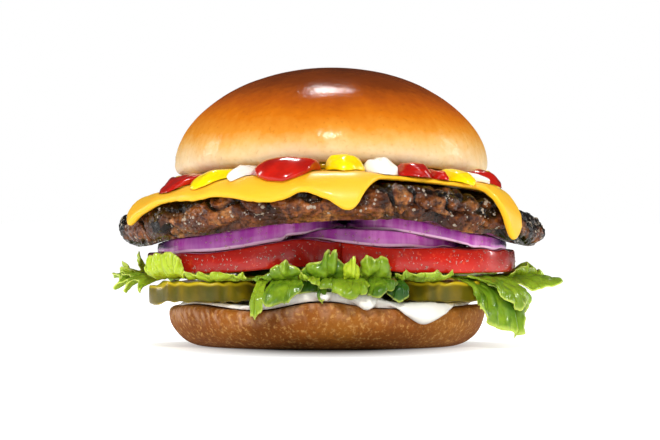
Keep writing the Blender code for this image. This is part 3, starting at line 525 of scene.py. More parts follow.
def make_heel():
    """The lower half of the bun: flat base, side that curves in, and wrinkles under the cut."""
    shoulder_r, shoulder_z = HEEL_RADIUS - HEEL_SHOULDER, HEEL_TOP - HEEL_SHOULDER
    side_r = HEEL_RADIUS - HEEL_SIDE
    profile = np.vstack(([(0, HEEL_TOP + 0.2), (26, HEEL_TOP + 0.1)],
                         arc(shoulder_r, shoulder_z, HEEL_SHOULDER, HEEL_SHOULDER, 90, 0, 8),
                         arc(side_r, HEEL_SIDE, HEEL_SIDE, HEEL_SIDE, -4, -90, 16), [(0, 0)]))
    r, angle, z = turned_grid(spread(profile, 130), 380)
    x, y = round_stack(r, angle)
    rings = np.stack((x, y, z + heel_wave(x, y) * smooth(4, shoulder_z, z)), axis=2)
    # The upper side is wrinkled, most of all at the front left, and the base is flat
    wrinkled = smooth(6.5, 11.5, z) * smooth(side_r, HEEL_RADIUS, r)
    left = np.clip(0.45 + 0.55 * np.cos(np.radians(angle - WRINKLED_AT)), 0, 1) ** 2
    folds = rough(np.stack((angle * 0.9, z * 0.55, z * 0), axis=2), 1.5, 3)
    push = -0.32 * np.abs(folds) * wrinkled * (0.35 + 0.65 * left)
    push += (0.5 * rough(rings, 17) + 0.14 * rough(rings, 4, 5)) * smooth(1.5, 6, z)
    push = np.minimum(push, 0.25) * smooth(0, 1, z)
    rings += outward(rings) * push[..., None]
    # Darker towards the bottom of the side, most in the lowest few millimetres
    scorch = (0.12 * (1 - smooth(0.3, 3.2, z + 0.8 * rough(rings, 6, 2)))
              + 0.2 * (1 - smooth(2, 10, z + 2.5 * rough(rings, 12, 4))))
    pale = 0.7 * wrinkled * left * smooth(-0.3, 0.5, folds + 0.4 * rough(rings, 7, 8))
    piece = closed_form("heel_bread", rings, floured_base(), scorch=scorch, pale=pale)
    return dressed(piece, "heel_crust", "heel")


def crown_sag(x, y):
    """How far the crown droops with the patty, away from its middle."""
    return SIDE_SAG * (x - CROWN_X) ** 2 + FRONT_SAG * y * y


def make_crown():
    """The upper half of the bun: a smooth dome that wrinkles towards its rolled rim."""
    flat_r = CROWN_RADIUS - CROWN_RIM_INSET
    turn = np.radians(np.linspace(90, 0, 60))
    dome = np.column_stack((CROWN_RADIUS * np.cos(turn) ** CROWN_FULLNESS,
                            CROWN_WAIST + (CROWN_TOP - CROWN_WAIST) * np.sin(turn) ** CROWN_FULLNESS))
    rim = arc(flat_r, CROWN_WAIST, CROWN_RIM_INSET, CROWN_WAIST - CROWN_RIM, 0, -90, 14)[1:]
    profile = np.vstack((dome, rim, [(30, CROWN_UNDERSIDE - 0.5), (0, CROWN_UNDERSIDE)]))
    r, angle, z = turned_grid(spread(profile, 160), 400)
    x, y = round_stack(r, angle)
    rings = np.stack((x + CROWN_X, y, z - crown_sag(x + CROWN_X, y)), axis=2)
    # Wrinkles run up from the rim, deepest at the left and the right
    low = 1 - smooth(CROWN_RIM, CROWN_WAIST + 10, z)
    sides = 0.35 + 0.65 * np.abs(np.sin(np.radians(angle)))
    folds = rough(np.stack((angle * 0.55, z * 0.5 + 0.04 * angle, z * 0), axis=2), 1.6, 2)
    push = -0.55 * np.abs(folds) * low * sides * smooth(flat_r, flat_r + 3, r)
    push += (0.45 * rough(rings, 24, 4) + 0.12 * rough(rings, 7, 6)) * smooth(5, 30, r)
    rings += outward(rings) * np.minimum(push, 0.15)[..., None]
    bake = (z - 0.5 * crown_sag(x + CROWN_X, y) - CROWN_RIM) / (CROWN_TOP - CROWN_RIM)
    piece = closed_form("crown_bread", rings, glazed_crust(), bake=bake)
    return dressed(piece, "crown_crust", "crown")


def water_drop():
    """Water: a small lens that shows what it lies on and mirrors the lamps, with a share of pale
    colour, a painted highlight, so that each drop shows as a light speck.
    """
    made, _, _, _ = finish_named("water_drop", Base_Color="ffe0d0", IOR=1.33, Roughness=0.04,
                                 Transmission_Weight=0.8)
    return made


def meat_juice():
    """Melted fat and juice on the beef, partly clear and partly a pale colour that is a painted
    highlight, so that each bead shows as a glint.
    """
    made, _, _, _ = finish_named("meat_juice", Base_Color="f6e2c8", IOR=1.45, Roughness=0.05,
                                 Transmission_Weight=0.7)
    return made


def bead_tree():
    """Geometry Nodes that strew flattened beads over a surface, upright on it and of mixed sizes."""
    tree = bpy.data.node_groups.new("beads", 'GeometryNodeTree')
    for name, kind in (("Surface", 'Geometry'), ("Beads per Square Metre", 'Float'),
                       ("Smallest", 'Float'), ("Largest", 'Float'), ("Flatness", 'Float'),
                       ("Seed", 'Int'), ("Finish", 'Material')):
        tree.interface.new_socket(name, in_out='INPUT', socket_type="NodeSocket" + kind)
    tree.interface.new_socket("Beads", in_out='OUTPUT', socket_type="NodeSocketGeometry")
    given = add(tree, "NodeGroupInput").outputs
    wet = add(tree, "GeometryNodeInputNamedAttribute", {"Name": "wet"}, data_type='FLOAT').outputs[0]
    density = add(tree, "ShaderNodeMath", {0: wet, 1: given["Beads per Square Metre"]},
                  operation='MULTIPLY').outputs[0]
    spots = add(tree, "GeometryNodeDistributePointsOnFaces", {
        "Mesh": given["Surface"], "Density": density, "Seed": given["Seed"]})
    ball = add(tree, "GeometryNodeMeshIcoSphere", {"Radius": 1.0, "Subdivisions": 2}).outputs["Mesh"]
    flat = add(tree, "ShaderNodeCombineXYZ", {"X": 1.0, "Y": 1.0, "Z": given["Flatness"]})
    bead = add(tree, "GeometryNodeTransform", {"Geometry": ball, "Scale": flat.outputs["Vector"]})
    size = add(tree, "FunctionNodeRandomValue", {"Seed": given["Seed"]}, data_type='FLOAT')
    curve = add(tree, "ShaderNodeMath", {0: size.outputs[1], 1: 2.5}, operation='POWER').outputs[0]
    size = add(tree, "ShaderNodeMapRange", {"Value": curve, "To Min": given["Smallest"],
                                            "To Max": given["Largest"]}).outputs["Result"]
    strewn = add(tree, "GeometryNodeInstanceOnPoints", {
        "Points": spots.outputs["Points"], "Instance": bead.outputs["Geometry"],
        "Rotation": spots.outputs["Rotation"], "Scale": size})
    made = add(tree, "GeometryNodeRealizeInstances", {0: strewn.outputs["Instances"]})
    made = add(tree, "GeometryNodeSetShadeSmooth", {0: made.outputs[0]})
    made = add(tree, "GeometryNodeSetMaterial", {0: made.outputs[0], "Material": given["Finish"]})
    tree.links.new(made.outputs[0], add(tree, "NodeGroupOutput").inputs[0])
    return tree


def strew_beads(tree, host, wet, per_cm2, smallest, largest, flatness, seed, finish):
    """A piece of beads on a host, denser where it is wet. Sizes are radii in mm."""
    mark_points(host, "wet", np.clip(in_pole_order(wet), 0, 1))
    obj = bpy.data.objects.new(host.name + "_beads", host.data)
    bpy.context.scene.collection.objects.link(obj)
    modifier = obj.modifiers.new("beads", 'NODES')
    modifier.node_group = tree
    values = {"Beads per Square Metre": per_cm2 * 1e4, "Smallest": smallest * MM,
              "Largest": largest * MM, "Flatness": flatness, "Seed": seed, "Finish": finish}
    for socket in tree.interface.items_tree:
        if socket.name in values:
            modifier[socket.identifier] = values[socket.name]
    seen = obj.evaluated_get(bpy.context.evaluated_depsgraph_get())
    mesh = bpy.data.meshes.new_from_object(seen)
    obj.modifiers.clear()
    obj.data = mesh
    host.data.attributes.remove(host.data.attributes["wet"])
    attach(obj, "root")
    return obj


def grilled_beef():
    """Coarsely ground beef from a flame grill: brown crumb, black char where it stands out, painted
    shade in its creases and cracks, and a film of fat and juice that catches the light."""
    made, tree, shader, place = finish_named("grilled_beef", IOR=1.4, Coat_Weight=0.8,
                                             Coat_Roughness=0.05, Specular_IOR_Level=0.05)
    meat = add(tree, "ShaderNodeValToRGB", {"Fac": patchy(tree, place, 5, 5, 0.6)}, stops=(
        (0.3, "331609"), (0.44, "613011"), (0.55, "915021"), (0.66, "b87b40"),
        (0.8, "7d341a"))).outputs["Color"]
    grain = ranged(tree, patchy(tree, place, 1.1, 3, 0.7), 0.36, 0.64, 0.0, 1.0)
    meat = blended(tree, grain, "3d1c0e", meat)
    # Painted shade: the creases between lumps and the cracks are darkened
    meat = blended(tree, marked(tree, "crease"), meat, "1c0a05")
    black = add(tree, "ShaderNodeMath", {
        0: marked(tree, "char"), 1: ranged(tree, patchy(tree, place, 2.6, 4), 0.3, 0.7, -0.3, 0.3)})
    meat = blended(tree, ranged(tree, black.outputs[0], 0.35, 0.75), meat, "0c0502")
    tree.links.new(meat, shader.inputs["Base Color"])
    tree.links.new(ranged(tree, patchy(tree, place, 2.2, 3), 0.35, 0.65, 0.28, 0.6),
                   shader.inputs["Roughness"])
    relief(tree, shader, patchy(tree, place, 1.2, 3, 0.6), 1.2, 1.0)
    return made


def melted_cheese():
    """Processed cheese that has just melted: smooth, slightly see-through, with a soft gloss."""
    made, tree, shader, place = finish_named(
        "melted_cheese", IOR=1.45, Roughness=0.4, Coat_Weight=0.12, Coat_Roughness=0.08,
        Specular_IOR_Level=0.35, Subsurface_Weight=0.25,
        Subsurface_Radius=(1.0, 0.55, 0.12), Subsurface_Scale=0.003)
    warm = ranged(tree, patchy(tree, place, 14, 3), 0.35, 0.65)
    shade = blended(tree, warm, "e8ad1e", "f2b62c")
    tree.links.new(blended(tree, marked(tree, "thin"), shade, "f2b41e"), shader.inputs["Base Color"])
    relief(tree, shader, patchy(tree, place, 4, 3), 0.18, 0.6)
    return made


def wet_sauce(name, shade, deep, radius):
    """A thick sauce: wet, glossy and a little see-through, its colour varying in patches."""
    made, tree, shader, place = finish_named(
        name, IOR=1.42, Roughness=0.18, Coat_Weight=0.4, Coat_Roughness=0.06,
        Subsurface_Weight=0.15, Subsurface_Radius=radius, Subsurface_Scale=0.0015)
    mixed = ranged(tree, patchy(tree, place, 3.5, 3), 0.35, 0.65)
    tree.links.new(blended(tree, mixed, shade, deep), shader.inputs["Base Color"])
    relief(tree, shader, patchy(tree, place, 2.4, 2), 0.3, 0.7)
    return made


def patty_top(x, y):
    """Height of the patty's upper face, which droops to its ends and more at the right one."""
    end = END_DROOP * smooth(DROOP_FROM, DROOP_TO, x)
    return PATTY_TOP - SIDE_SAG * (x - SAG_X) ** 2 - FRONT_SAG * y * y - end


def patty_under(x, y):
    """Height of the patty's underside, bent over the onion."""
    return through(PATTY_UNDERSIDE, x) - FRONT_SAG * y * y


def ground_meat(rings, angle):
    """Relief of ground meat in mm, a mask of painted shade for its creases, and its cracks. Lumps of
    three sizes have gaps between the larger ones here and there, and cracks run from the top to the
    underside."""
    upright = rings * (1, 1, 0.75)
    big, medium = lumps(upright, BIG_LUMP, 1), lumps(upright, MEDIUM_LUMP, 2)
    small = lumps(rings, SMALL_LUMP, 3)
    gap_here = smooth(-0.25, 0.3, rough(rings, 12, 9))
    crease = np.clip(gap_here * (0.7 * (1 - smooth(0, 0.22, big)) + 0.5 * (1 - smooth(0, 0.3, medium)))
                     + 0.15 * (1 - smooth(0, 0.4, small)), 0, 1)
    vertical = np.stack((angle * 0.1, 0.07 * rings[..., 2], 0 * angle), axis=2)
    crack = 1 - smooth(0.02, 0.14, np.abs(rough(vertical, 1.0, 21)))
    push = (-CRACK_DEPTH * crack - GAP_DEPTH * gap_here * (1 - smooth(0, 0.35, big))
            - (0.25 + 0.45 * gap_here) * (1 - smooth(0, 0.45, medium))
            - 0.3 * (1 - smooth(0, 0.6, small)) + 1.2 * rough(upright, 14, 4)
            + 0.35 * rough(rings, 1.3, 5) - 0.3)
    return push, np.maximum(crease, 0.9 * crack), crack


def make_patty(beads):
    """A pressed disc bent over the layers below, broken up into lumps of ground meat."""
    flat_r = PATTY_RADIUS - PATTY_ROUND
    side = arc(flat_r, 0.5, PATTY_ROUND, 0.5, 90, -90, 84)
    top = [(r, 1) for r in (0, 20, 38, 50, 56, 59, 61, 62.5)]
    under = [(r, 0) for r in (62.5, 61, 59, 56, 50, 44, 38, 30, 20, 0)]
    r, angle, height = turned_grid(np.vstack((top, side, under)), 820)
    x, y = round_stack(r, angle)
    x += PATTY_X
    low = patty_under(x, y)
    rings = np.stack((x, y, low + height * (patty_top(x, y) - low)), axis=2)
    # The relief is weaker on the underside, which lies on the onion
    push, crease, crack = ground_meat(rings, angle)
    push *= 1 - 0.7 * (height < 0.02)
    moist = rough(rings * (1, 1, 0.75), 2.5, 12)
    rings += outward(rings) * (np.minimum(push, MEAT_STANDS_OUT) * smooth(40, 62, r))[..., None]
    crag = np.exp(-((rings - np.array(CRAG)) ** 2).sum(axis=2) / CRAG_RADIUS ** 2)
    rings += outward(rings) * (CRAG_OUT * crag)[..., None]
    # Char: on the crag, in the cracks, along the upper edge, at both ends and in patches
    char = (0.9 * crag + 0.7 * crack * smooth(0.1, 0.6, height)
            + 0.75 * smooth(0.62, 0.95, height + 0.2 * rough(rings, 6, 6))
            + 0.8 * rough(rings, 11, 7) + 0.55 * smooth(48, 66, np.abs(x - PATTY_X))
            + 0.3 * (1 - smooth(0.04, 0.2, height)))
    piece = closed_form("grilled_patty", rings, grilled_beef(), char=char, crease=0.8 * crease)
    # Juice gathers in a few places and is thin elsewhere
    juicy = np.max([1 - smooth(0.3, 1.0, np.hypot(rings[..., 0] - at_x, rings[..., 2] - at_z) / wide)
                    for at_x, at_z, wide in JUICY], axis=0)
    greasy = (juicy + 0.15) * smooth(-0.3, 0.3, moist) * smooth(62, 67, r)
    strew_beads(beads, piece, greasy * (height < 0.95), 75, 0.12, 0.7, 0.4, 3, meat_juice())
    return dressed(piece, "beef", "patty")


def over_patty(reach, angle, offset):
    """Points at an offset from the patty's smooth envelope, reached by going from the middle
    along its top, round its rim and down its side."""
    flat_r = PATTY_RADIUS - PATTY_ROUND
    turn = np.clip((reach - flat_r) / PATTY_ROUND, 0, np.pi / 2)
    down = np.maximum(reach - flat_r - PATTY_ROUND * np.pi / 2, 0)
    flat = reach <= flat_r
    r = np.where(flat, reach, flat_r + (PATTY_ROUND + offset) * np.sin(turn))
    drop = np.where(flat, -offset, PATTY_ROUND - (PATTY_ROUND + offset) * np.cos(turn) + down)
    base_x, base_y = round_stack(np.minimum(r, PATTY_RADIUS), angle)
    x, y = round_stack(r, angle)
    return np.stack((x + PATTY_X, y, patty_top(base_x + PATTY_X, base_y) - drop), axis=-1)


def cheese_thickness(angle):
    """Thickness of the slice at its rim."""
    thin = smooth(THIN_FROM - 6, THIN_FROM + 4, angle)
    thin = thin * (1 - smooth(THIN_TO - 4, THIN_TO + 3, angle))
    return CHEESE_THICKNESS + (CHEESE_THIN - CHEESE_THICKNESS) * thin


def cheese_lift(reach):
    """Clearance that the cheese needs over the patty's flats and round its rim."""
    return 0.6 * (1 - smooth(45, 58, reach)) + 0.35 * smooth(58, 66, reach)


def rounded_sheet(rings, nose, steps):
    """The section (part, height) of a disc of radius 1 and height 1 with a round edge."""
    turn = np.linspace(90, -90, steps)
    edge = np.column_stack((1 - nose + nose * np.cos(np.radians(turn)),
                            0.5 + 0.5 * np.sin(np.radians(turn))))
    parts = np.linspace(0, 1 - nose, rings) ** 0.6 * (1 - nose) ** 0.4
    level = np.ones(rings)
    return np.vstack((np.column_stack((parts, level)), edge[1:-1],
                      np.column_stack((parts, 0 * level))[::-1]))


def make_cheese():
    """A melted slice that lies on the patty and hangs over its rim at the corners."""
    part, angle, height = turned_grid(rounded_sheet(60, 0.018, 9), 440)
    line = np.stack((angle, angle * 0, angle * 0), axis=2)
    reach = part * (through(CHEESE_REACH, angle) + 0.5 * rough(line, 5, 2) + 0.3 * rough(line, 2, 4))
    spare = (CHEESE_THICKNESS - cheese_thickness(angle)) * smooth(0.3, 0.8, part)
    thickness = CHEESE_THICKNESS - spare
    offset = GAP + cheese_lift(reach) + height * thickness
    rings = over_patty(reach, angle, offset)
    soft = (0.35 * rough(rings, 11, 1) + 0.12 * rough(rings, 4, 2)) * height
    rings += outward(rings) * soft[..., None]
    piece = closed_form("cheese_slice", rings, melted_cheese(), thin=smooth(0.985, 1.0, part))
    return dressed(piece, "cheese", "cheese")


def crown_underside(x, y):
    """Height of the crown's lower surface at places under or just outside it."""
    r = np.hypot(x - CROWN_X, y)
    flat_r = CROWN_RADIUS - CROWN_RIM_INSET
    hollow = CROWN_UNDERSIDE + (CROWN_RIM - CROWN_UNDERSIDE) * np.minimum(r / flat_r, 1) ** 2
    part = np.clip((r - flat_r) / CROWN_RIM_INSET, 0, 1)
    level = hollow + (CROWN_WAIST - CROWN_RIM) * (1 - np.sqrt(1 - part ** 2))
    return np.where(r < CROWN_RADIUS, level, CROWN_WAIST + 3) - crown_sag(x, y)


def make_dollop(name, finish, seed, start, end, inner, outer, height):
    """A squeeze of sauce that lies on the cheese and is pressed flat where the crown is."""
    # A lumpy ball, flat below, whose sides are stretched over the dollop's stretch of the ring
    turn = np.linspace(0, np.pi, 34)
    around = np.linspace(0, 2 * np.pi, 56, endpoint=False)
    turn, around = np.meshgrid(turn, around, indexing="ij")
    up = np.cos(turn)
    out = np.sin(turn) ** 0.75
    ball = np.stack((np.cos(around) * out, np.sin(around) * out, up), axis=2)
    out = out * (1 + 0.18 * rough(ball + seed, 0.9, seed) + 0.05 * rough(ball + seed, 0.35, seed))
    a, b = out * np.cos(around), -out * np.sin(around)
    angle = (start + end) / 2 - a * (end - start) / 2
    reach = (inner + outer) / 2 + b * (outer - inner) / 2
    wrapped = (angle + 180) % 360 - 180
    floor = GAP + cheese_lift(reach) + cheese_thickness(wrapped) + 0.35
    swell = 1 + 0.28 * rough(ball * 9 + seed * 5, 6.0, seed) + 0.04 * rough(ball * 9, 2.4, seed)
    rings = over_patty(reach, angle, floor + np.maximum(up, 0) ** 0.8 * height * swell)
    # The crown's underside presses it flat
    lowest = over_patty(reach, angle, floor)[..., 2]
    ceiling = crown_underside(rings[..., 0], rings[..., 1]) - 0.15
    squashed = np.maximum(ceiling, lowest + 0.4 * up)
    rings[..., 2] = np.where((rings[..., 2] > ceiling) & (up > 0), squashed, rings[..., 2])
    return closed_form(name, rings, finish)


def make_sauces():
    """A ring of dollops on the cheese, numbered by kind from the front left to the right. Returns
    the mayonnaise's finish, which the pool on the heel has too."""
    finishes = {"ketchup": wet_sauce("tomato_ketchup", "b8190b", "97110a", (1.0, 0.12, 0.05)),
                "mustard": wet_sauce("yellow_mustard", "fbdc02", "eec900", (1.0, 0.8, 0.1)),
                "mayo": wet_sauce("mayonnaise", "f4f1ea", "ece7dc", (1.0, 0.9, 0.75))}
    counts = dict.fromkeys(finishes, 0)
    for seed, (kind, *place) in enumerate(SAUCES):
        counts[kind] += 1
        node = f"{kind}_{counts[kind]}"
        dressed(make_dollop(f"{node}_dollop", finishes[kind], seed, *place), kind, node)
    return finishes["mayo"]


def tomato_flesh():
    """Ripe tomato: red skin with orange flecks under it, wet and shiny, with painted shade that
    darkens the left slice and both ends.
    """
    made, tree, shader, place = finish_named(
        "tomato_flesh", IOR=1.4, Roughness=0.22, Coat_Weight=0.5, Coat_Roughness=0.08,
        Subsurface_Weight=0.15, Subsurface_Radius=(1.0, 0.25, 0.1), Subsurface_Scale=0.003)
    broad = ranged(tree, patchy(tree, place, 16, 3), 0.35, 0.65)
    red = blended(tree, broad, "a8140c", "c4200e")
    flecks = ranged(tree, patchy(tree, place, 0.8, 2, 0.6), 0.6, 0.72, 0.0, 0.5)
    red = blended(tree, flecks, red, "e8512c")
    # Painted shade: the shoulder mark darkens the left slice all over and both ends towards the top
    red = blended(tree, marked(tree, "shoulder"), red, "6d120b")
    red = blended(tree, marked(tree, "cut"), red, "d8412b")
    tree.links.new(red, shader.inputs["Base Color"])
    relief(tree, shader, patchy(tree, place, 1.6, 3), 0.1, 0.5)
    return made


def red_onion():
    """Sliced red onion: wet purple rings whose cut edges are nearly white."""
    made, tree, shader, place = finish_named(
        "red_onion", IOR=1.4, Roughness=0.2, Coat_Weight=0.5, Coat_Roughness=0.07,
        Subsurface_Weight=0.2, Subsurface_Radius=(0.9, 0.35, 0.9), Subsurface_Scale=0.002)
    veins = add(tree, "ShaderNodeMapping", {"Vector": place, "Scale": (1.0, 1.0, 0.18)})
    streaks = ranged(tree, patchy(tree, veins.outputs["Vector"], 1.6, 3), 0.35, 0.65)
    purple = blended(tree, streaks, "b83cac", "dd86d0")
    purple = blended(tree, ranged(tree, patchy(tree, place, 11, 2), 0.45, 0.65, 0.0, 0.55),
                     purple, "7a2583")
    purple = blended(tree, marked(tree, "skin"), purple, "3b1350")
    purple = blended(tree, marked(tree, "pale"), purple, "ecc0dc")
    tree.links.new(purple, shader.inputs["Base Color"])
    relief(tree, shader, patchy(tree, place, 1.4, 3), 0.15, 0.6)
    return made


def brined_pickle():
    """A gherkin from its jar: dull olive skin, and wet yellow-green flesh at the wavy cut."""
    made, tree, shader, place = finish_named(
        "brined_pickle", IOR=1.35, Roughness=0.3, Coat_Weight=0.15, Coat_Roughness=0.1,
        Subsurface_Weight=0.2, Subsurface_Radius=(0.7, 0.8, 0.15), Subsurface_Scale=0.002)
    mottle = ranged(tree, patchy(tree, place, 4, 3), 0.35, 0.65)
    green = blended(tree, mottle, "584c03", "7a6605")
    # Painted shade: the skin is darker in the troughs of its ridges
    green = blended(tree, marked(tree, "hollow"), green, "3c4410")
    green = blended(tree, marked(tree, "cut"), green, "c3a91a")
    tree.links.new(green, shader.inputs["Base Color"])
    relief(tree, shader, patchy(tree, place, 1.8, 3), 0.2, 0.6)
    return made


def slice_form(middle, reach, under, top, rim, bulge, columns=340):
    """Rings of a slice with flat faces, corners as round as the rim is wide and a bulging flank.
    Returns them with their height part and their distance inside the flank."""
    share = np.linspace(0, 1, 26)
    turn = np.radians(np.linspace(0, 90, 8))
    flank = np.linspace(1, 0, 16)
    share_of_rim = 0.1
    angle = np.linspace(-180, 180, columns, endpoint=False)
    edge = reach(angle)
    # The top and its round corner, their mirror image below, and the flank between the two
    rows, heights = [], []
    for part in share:
        rows.append(part * (edge - rim))
        heights.append(1.0)
    for t in turn[1:]:
        rows.append(edge - rim + rim * np.sin(t))
        heights.append(1 - share_of_rim * (1 - np.cos(t)))
    half = len(rows)
    heights += [1 - h for h in reversed(heights)]
    rows += list(reversed(rows))
    between = 1 - share_of_rim + (2 * share_of_rim - 1) * (1 - flank[1:-1])
    rows[half:half] = [edge] * len(between)
    heights[half:half] = list(between)
    heights = np.array(heights)[:, None] * np.ones(columns)
    rows = np.array(rows)
    r = rows + bulge * np.clip(1 - (2 * heights - 1) ** 2, 0, 1) * (rows > edge - rim)
    depths = edge - r
    x, y = round_stack(r, angle[None, :])
    x, y = x + middle[0], y + middle[1]
    low = under(x, y)
    z = low + heights * (np.maximum(top(x, y), low + 0.8) - low)
    return np.stack((x, y, z), axis=2), heights, depths


def ray_to_circle(origin, angle, centre, radius, far):
    """How far a ray at an angle goes until it meets a circle: its far side or its near one."""
    dx, dy = round_stack(1.0, angle)
    ox, oy = origin[0] - centre[0], origin[1] - centre[1]
    half = ox * dx + oy * dy
    under_root = half ** 2 - (ox * ox + oy * oy - radius ** 2)
    root = np.sqrt(np.maximum(under_root, 0))
    hit = -half + root if far else -half - root
    return np.where((under_root > 0) & (hit > 0), hit, 1e9)


def settled(x, y):
    """How the slices' faces undulate together, so that they lie close with no gap seen between."""
    return 0.3 * np.sin(0.55 * y + 0.12 * x) * (1 - smooth(34, 44, np.abs(y)))


def tomato_top(x, y):
    """Height of the tomato slices' upper faces."""
    return through(TOMATO_TOP, x) + settled(x, y)


def tomato_under(x, _):
    """Height of the tomato slices' undersides."""
    return through(TOMATO_UNDER, x)


def make_tomatoes(beads, drop):
    """Two slices side by side. The right one is cut to fit round the edge of the left one."""
    finish = tomato_flesh()

    def whole(angle):
        return TOMATO_LEFT[2] * (1 + 0.006 * np.sin(np.radians(3 * angle)))

    def crescent(angle):
        outer = ray_to_circle(TOMATO_RIGHT_HEART, angle, TOMATO_RIGHT, TOMATO_RIGHT[2], True)
        inner = ray_to_circle(TOMATO_RIGHT_HEART, angle, TOMATO_LEFT, TOMATO_LEFT[2] + GAP, False)
        return np.minimum(outer, inner)

    for name, middle, reach in (("tomato_left", TOMATO_LEFT, whole),
                                ("tomato_right", TOMATO_RIGHT_HEART, crescent)):
        rings, height, depth = slice_form(middle, reach, tomato_under, tomato_top, 0.9, 0.2)
        rings += outward(rings) * (0.12 * rough(rings, 6, 3) - 0.1)[..., None]
        # Painted shade: the left slice is darkened all over, as if in the shadow of the onion and
        # patty above, and both slices darken at their ends towards the top
        far = np.abs(rings[..., 0] - 3)
        ripe = 0.35 if name == "tomato_left" else 0.0
        upper = smooth(0.1, 0.8, height + 0.3 * rough(rings, 5, 2))
        shoulder = ripe + 0.6 * smooth(49, 58, far) * upper
        cut = smooth(1.0, 2.6, depth) * 0.6
        piece = closed_form(name + "_slice", rings, finish, shoulder=shoulder, cut=cut)
        strew_beads(beads, piece, 1.0 * (depth < WET_DEPTH), 40, 0.13, 0.4, 0.6, 7, drop)
        dressed(piece, "tomato", name)


def make_onions(beads, drop):
    """Three slices: two lie over the third, and the patty rests on them. The cut edges below are
    pale and both ends keep some dark skin."""
    finish = red_onion()

    def left_under(x, y):
        return through(ONION_LEFT_UNDER, x) - SETTLED + settled(x, y)

    def upper_under(x, y):
        return through(ONION_UPPER_UNDER, x) - SETTLED + settled(x, y)

    forms = (
        ("onion_left", ONION_LEFT, left_under, lambda x, y: left_under(x, y) + ONION_THICKNESS),
        ("onion_upper", ONION_UPPER, upper_under,
         lambda x, y: upper_under(x, y) + 0.85 * ONION_THICKNESS),
        ("onion_lower", ONION_LOWER, lambda x, y: tomato_top(x, y) + ONION_CLEARANCE - SETTLED,
         lambda x, y: through(ONION_LOWER_TOP, x) + settled(x, y)))
    for name, (mid_x, mid_y, radius), under, top in forms:
        def upper(x, y):
            return np.minimum(top(x, y), patty_under(x, y) - ONION_CLEARANCE + SETTLED)

        rings, height, depth = slice_form(
            (mid_x, mid_y), lambda angle: radius * (1 + 0.008 * np.sin(np.radians(4 * angle))),
            under, upper, 0.3, 0.3)
        layers = 0.5 + 0.5 * np.cos(2 * np.pi * depth / ONION_LAYER)
        inside = smooth(0.5, 1.0, depth)
        edge = 0.95 * (1 - smooth(0.15, 0.22, height + 0.03 * rough(rings, 5, 3)))
        pale = np.maximum(inside * (0.45 + 0.5 * layers ** 6), edge)
        ends = smooth(0.72, 0.95, np.abs(rings[..., 0] - mid_x) / radius)
        skin = (depth < 1.0) * ends * smooth(0.25, 0.5, height + 0.1 * rough(rings, 5, 4))
        piece = closed_form(name + "_slice", rings, finish, pale=np.clip(pale, 0, 1), skin=skin)
        wet = (depth < WET_DEPTH) * smooth(-0.2, 0.3, rough(rings, 9, 8))
        strew_beads(beads, piece, wet, 50, 0.12, 0.42, 0.6, 5, drop)
        dressed(piece, "onion", name)


def make_pickles():
    """Crinkle-cut slices: both faces and the skin follow the ridges of the cut."""
    finish = brined_pickle()
    for name, mid_x, mid_y, radius, turn in PICKLES:
        across = np.array((math.cos(math.radians(turn)), math.sin(math.radians(turn))))

        def droop(x):
            return PICKLE_DROOP * smooth(51, 60, np.abs(x))

        def ridge(x, y):
            along = (x - mid_x) * across[0] + (y - mid_y) * across[1]
            uneven = along + 0.9 * np.sin(along * 0.4 + mid_x)
            return np.sin(2 * np.pi * uneven / CRINKLE_LENGTH)

        def worn(x, y):
            kept = 0.35 + 0.65 * smooth(0.4, 0.9, np.abs(x - mid_x) / radius)
            return CRINKLE_DEPTH * kept * ridge(x, y)

        rings, height, depth = slice_form(
            (mid_x, mid_y), lambda angle: radius + 0 * angle,
            lambda x, y: PICKLE_UNDER - 0.2 + worn(x, y) - droop(x),
            lambda x, y: PICKLE_TOP + worn(x, y) - droop(x), 0.6, 0.15)
        hollow = 0.5 - 0.5 * ridge(rings[..., 0], rings[..., 1])
        outer = 0.3 + 0.7 * smooth(44, 56, np.abs(rings[..., 0]))
        rings += outward(rings) * (-0.7 * outer * hollow * (depth < 0.8) - 0.02)[..., None]
        cut = np.maximum(smooth(0.4, 1.0, depth), smooth(0.78, 0.9, height))
        # The hollow mark is painted shade in the troughs of the ridges on the skin
        piece = closed_form(name + "_slice", rings, finish, cut=0.85 * cut,
                            hollow=0.5 * hollow * (1 - smooth(0.7, 0.9, height)))
        dressed(piece, "pickle", name)


def over_heel(reach, angle, offset):
    """Points at an offset from the heel's surface, going over its shoulder and down its side."""
    flat_r = HEEL_RADIUS - HEEL_SHOULDER
    flat = reach <= flat_r
    turn = np.clip((reach - flat_r) / HEEL_SHOULDER, 0, np.pi / 2)
    down = np.maximum(reach - flat_r - HEEL_SHOULDER * np.pi / 2, 0)
    bend = HEEL_SHOULDER + offset + np.where(flat, 0, SHOULDER_CLEARANCE)
    r = np.where(flat, reach, flat_r + bend * np.sin(turn))
    r = r - HEEL_SIDE * (1 - np.sqrt(1 - (np.minimum(down, HEEL_SIDE) / HEEL_SIDE) ** 2))
    z = np.where(flat, HEEL_TOP + 0.1 + offset, HEEL_TOP - HEEL_SHOULDER + bend * np.cos(turn) - down)
    x, y = round_stack(r, angle)
    base_x, base_y = round_stack(np.minimum(r, HEEL_RADIUS), angle)
    return np.stack((x, y, z + heel_wave(base_x, base_y)), axis=-1)


def mayo_height(x, y):
    """Thin under the pickles, and thick in the gap between them and in its drips."""
    middle = 1 - smooth(16, 24, np.abs(x + 1))
    front = 1 - smooth(-30, -12, y)
    back = smooth(30, 42, y) * 0.5
    return (MAYO_THICKNESS + 0.5 * smooth(40, 47, np.hypot(x, y)) + 2.6 * middle * front
            + 1.6 * middle * back)


